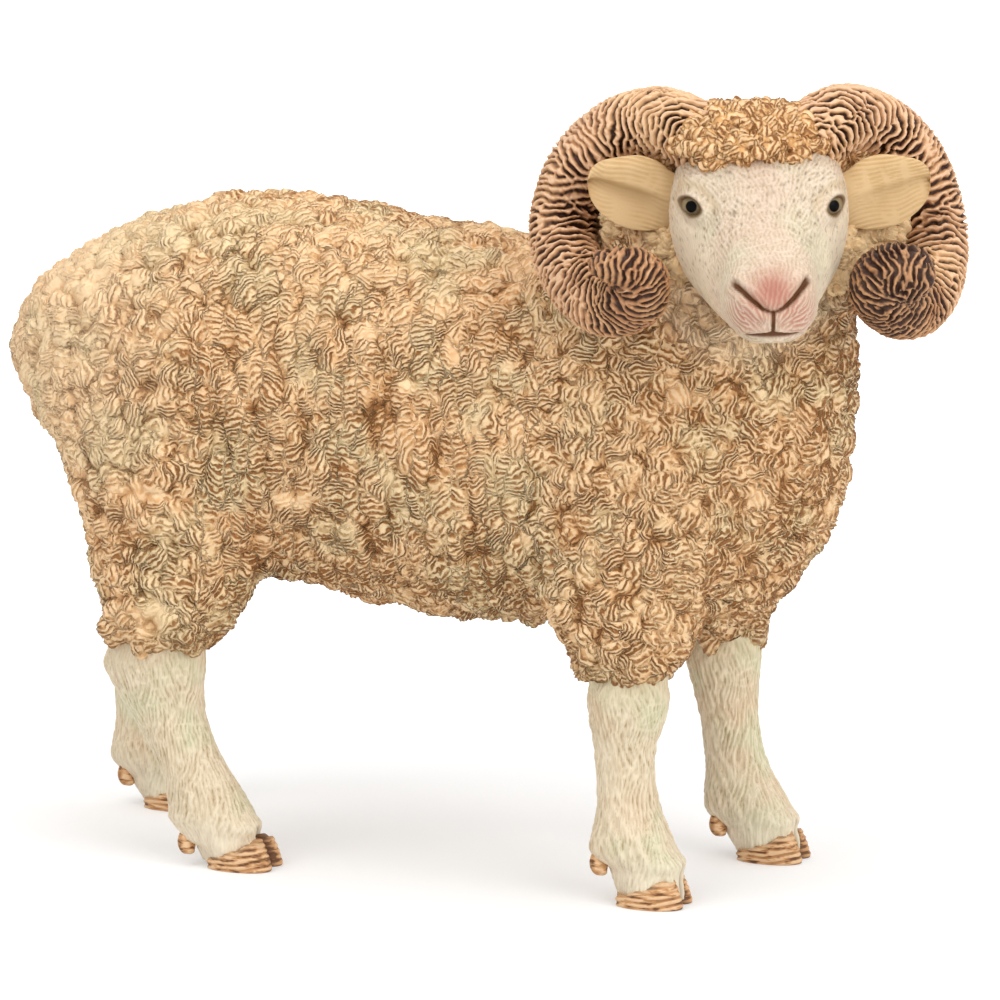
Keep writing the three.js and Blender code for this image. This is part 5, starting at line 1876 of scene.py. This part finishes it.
@dataclass
class Studio:
    """The floor, the soft lights and the camera, whose own place is in millimetres."""

    camera_at: Triple = (207.846, -530.550, 137.425)
    camera_turn: Triple = (80.0, 0.0, 20.955)
    focal: float = 206.64
    sensor: float = 36.0
    clip: tuple[float, float] = (0.01, 20.0)
    floor_size: float = 6.0
    floor_dark: Triple = (0.86, 0.86, 0.86)
    floor_light: Triple = (0.88, 0.88, 0.88)
    white_from: tuple[float, float] = (0.06, 0.2)
    aim_height: float = 0.04
    white_share: float = 0.22
    white_strength: float = 1.55
    world_strength: float = 0.6
    lights: dict[str, tuple[Triple, float, float]] = by_name(
        key_light=((-0.45, -0.75, 0.95), 0.8, 5.0),
        top_light=((0.05, 0.05, 1.1), 1.0, 5.0),
        fill_light=((0.95, -0.5, 0.5), 0.8, 6.4),
    )

    def build(self) -> None:
        """Builds all three and the white world."""
        self.build_camera()
        self.build_floor()
        self.build_lights()
        self.build_world()
        bpy.context.scene.view_settings.view_transform = "Standard"

    def build_camera(self) -> None:
        """A long lens at the photograph's viewing angle."""
        lens = bpy.data.cameras.new("camera")
        lens.lens = self.focal
        lens.sensor_width = self.sensor
        lens.clip_start, lens.clip_end = self.clip
        camera = placed("camera", lens)
        camera.location = (np.array(self.camera_at) + SHIFT) * MM
        camera.rotation_euler = [math.radians(turn) for turn in self.camera_turn]
        bpy.context.scene.camera = camera

    @staticmethod
    def seen_by_camera(graph: Graph) -> bpy.types.NodeSocket:
        """One where a ray comes from the camera, straight or by a mirror or glass, and zero elsewhere."""
        path = graph.add("ShaderNodeLightPath").outputs
        seen = graph.sum("ADD", path["Is Camera Ray"], path["Is Glossy Ray"])
        return graph.sum("ADD", seen, path["Is Transmission Ray"], clamp=True)

    def build_floor(self) -> None:
        """A level floor that looks white to the camera and still takes the figure's shadow."""
        half = self.floor_size / 2
        corners = [(-half, -half, 0), (half, -half, 0), (half, half, 0), (-half, half, 0)]
        mesh = bpy.data.meshes.new("floor")
        mesh.from_pydata(corners, [], [[0, 1, 2, 3]])
        floor = placed("floor", mesh)
        material, graph, shader = new_material("pale_floor")
        material.node_tree.nodes.remove(shader)
        matt = graph.add("ShaderNodeBsdfDiffuse")
        tone = graph.noise(graph.place(), 3.0)
        graph.feed(matt.inputs["Color"], graph.blend(tone, (*self.floor_dark, 1), (*self.floor_light, 1)))
        white = graph.add("ShaderNodeEmission")
        white.inputs["Strength"].default_value = self.white_strength
        seen = self.seen_by_camera(graph)
        join = graph.add("ShaderNodeMixShader")
        away = graph.add("ShaderNodeVectorMath", operation="LENGTH")
        graph.feed(away.inputs[0], graph.place())
        far = graph.between(away.outputs["Value"], *self.white_from)
        share = graph.line(far, 1 - self.white_share, self.white_share)
        graph.feed(join.inputs[0], graph.sum("MULTIPLY", seen, share))
        graph.feed(join.inputs[1], matt.outputs[0])
        graph.feed(join.inputs[2], white.outputs[0])
        graph.feed(material.node_tree.nodes["Material Output"].inputs["Surface"], join.outputs[0])
        mesh.materials.append(material)

    def build_lights(self) -> None:
        """Large square lamps that all face the figure."""
        aim = self.aim_height * UP
        for name, (place, size, power) in self.lights.items():
            lamp = bpy.data.lights.new(name, "AREA")
            lamp.size = size
            lamp.energy = power
            light = placed(name, lamp)
            light.location = place
            way = aim - np.array(place)
            flat = math.hypot(way[0], way[1])
            light.rotation_euler = (math.pi / 2 - math.atan2(-way[2], flat), 0, math.atan2(-way[0], way[1]))

    def build_world(self) -> None:
        """White to the camera, and a soft even light on the figure."""
        world = bpy.data.worlds.new("white_room")
        bpy.context.scene.world = world
        world.use_nodes = True
        graph = Graph(world.node_tree)
        back = world.node_tree.nodes["Background"]
        back.inputs["Color"].default_value = (1, 1, 1, 1)
        seen = self.seen_by_camera(graph)
        graph.feed(back.inputs["Strength"], graph.line(seen, 1 - self.world_strength, self.world_strength))


FLEECE_PAINT = Paint(
    name="cream_fleece_paint",
    tints=((0.705, 0.415, 0.19), (0.665, 0.36, 0.15), (0.615, 0.44, 0.22)),
    wash=(0.25, 0.09, 0.015),
    light=(0.98, 0.76, 0.48),
    wash_and_shade_strength=0.95,
    ribs=True,
    bump=1.0,
    rib_bump=3.0,
    grain_depth=0.35,
)
POLL_PAINT = Paint(
    name="golden_poll_paint",
    tints=((0.74, 0.415, 0.165), (0.68, 0.35, 0.12)),
    wash=(0.23, 0.08, 0.018),
    light=(0.96, 0.74, 0.47),
    ribs=True,
    bump=0.8,
    grain_depth=0.35,
)
HORN_PAINT = Paint(
    name="ribbed_horn_paint",
    tints=((0.56, 0.29, 0.135), (0.62, 0.35, 0.16), (0.43, 0.20, 0.085)),
    wash=(0.035, 0.009, 0.002),
    light=(0.91, 0.65, 0.43),
    wash_and_shade_strength=1.0,
    grain=3600.0,
)
FACE_PAINT = Paint(
    name="white_face_paint",
    tints=((0.64, 0.515, 0.385), (0.64, 0.485, 0.355), (0.60, 0.525, 0.37)),
    wash=(0.44, 0.32, 0.18),
    light=(0.79, 0.675, 0.53),
    wash_and_shade_strength=0.8,
    streak=(5200.0, 5200.0, 1500.0),
)
EAR_PAINT = Paint(
    name="cream_ear_paint",
    tints=((0.63, 0.41, 0.19), (0.60, 0.37, 0.15)),
    wash=(0.36, 0.18, 0.06),
    light=(0.81, 0.59, 0.33),
    wash_and_shade_strength=0.8,
)
LEG_PAINT = Paint(
    name="white_leg_paint",
    tints=((0.66, 0.55, 0.385), (0.64, 0.49, 0.325), (0.58, 0.55, 0.36)),
    wash=(0.38, 0.27, 0.14),
    light=(0.84, 0.73, 0.55),
    wash_and_shade_strength=0.85,
    streak=(5600.0, 5600.0, 900.0),
    streak_wash=0.4,
)
HOOF_PAINT = Paint(
    name="tan_hoof_paint",
    tints=((0.56, 0.29, 0.12), (0.64, 0.37, 0.18)),
    wash=(0.09, 0.03, 0.009),
    light=(0.88, 0.66, 0.42),
    streak=(700.0, 700.0, 3000.0),
    streak_wash=0.6,
)


@dataclass(frozen=True)
class EyePaint:
    """A gloss eye: black pupil, olive iris and a brown edge, by the angle from the way it looks."""

    pupil: Triple = (0.002, 0.002, 0.002)
    iris_dark: Triple = (0.20, 0.14, 0.07)
    iris_light: Triple = (0.36, 0.27, 0.155)
    edge: Triple = (0.16, 0.09, 0.04)
    pupil_angles: tuple[float, float] = (0.31, 0.38)
    edge_angles: tuple[float, float] = (0.55, 0.85)
    speckle: float = 4200.0
    specular: float = 0.06

    def make(self) -> bpy.types.Material:
        """Builds the material and returns it."""
        material, graph, shader = new_material("gloss_eye_paint")
        angle = graph.kept("angle")
        speckle = graph.noise(graph.place(), self.speckle, 3.0)
        iris = graph.blend(speckle, (*self.iris_dark, 1), (*self.iris_light, 1))
        edged = graph.blend(graph.between(angle, *self.edge_angles), iris, (*self.edge, 1))
        colour = graph.blend(graph.between(angle, *self.pupil_angles), (*self.pupil, 1), edged)
        graph.feed(shader.inputs["Base Color"], colour)
        graph.feed(shader.inputs["Roughness"], graph.line(speckle, 0.1, 0.25))
        shader.inputs["Specular IOR Level"].default_value = self.specular
        return material


def main() -> None:
    """Builds the studio and every sub-assembly in order."""
    logging.basicConfig(level=logging.INFO, format="%(message)s")
    effects = SharedEffects()
    Studio().build()
    fleece_marks = {"shade": (0.30, 0.19, 0.09), "pale_and_painted_light": (0.84, 0.66, 0.44)}
    Fleece().build(FLEECE_PAINT.make(effects, fleece_marks))
    head = Head()
    face_marks = {
        "pale_and_painted_light": (0.95, 0.81, 0.60),
        "shade": (0.66, 0.50, 0.29),
        "pink": (0.42, 0.165, 0.112),
        "fleck": (0.21, 0.155, 0.095),
        "rim": (0.17, 0.10, 0.045),
        "line": (0.115, 0.036, 0.006),
    }
    head.build(FACE_PAINT.make(effects, face_marks))
    Eyes().build(head, EyePaint().make())
    PollWool().build(POLL_PAINT.make(effects, {"pale_and_painted_light": (0.80, 0.58, 0.32)}))
    Horns().build(HORN_PAINT.make(effects))
    Ears().build(EAR_PAINT.make(effects, {"shade": (0.46, 0.29, 0.13)}))
    leg_marks = {"pale_and_painted_light": (0.86, 0.77, 0.61), "shade": (0.58, 0.46, 0.29), "cleft": (0.10, 0.04, 0.02)}
    hoof_marks = {"shade": (0.55, 0.38, 0.22)}
    Legs().build(LEG_PAINT.make(effects, leg_marks), HOOF_PAINT.make(effects, hoof_marks))


if __name__ == "__main__":
    main()
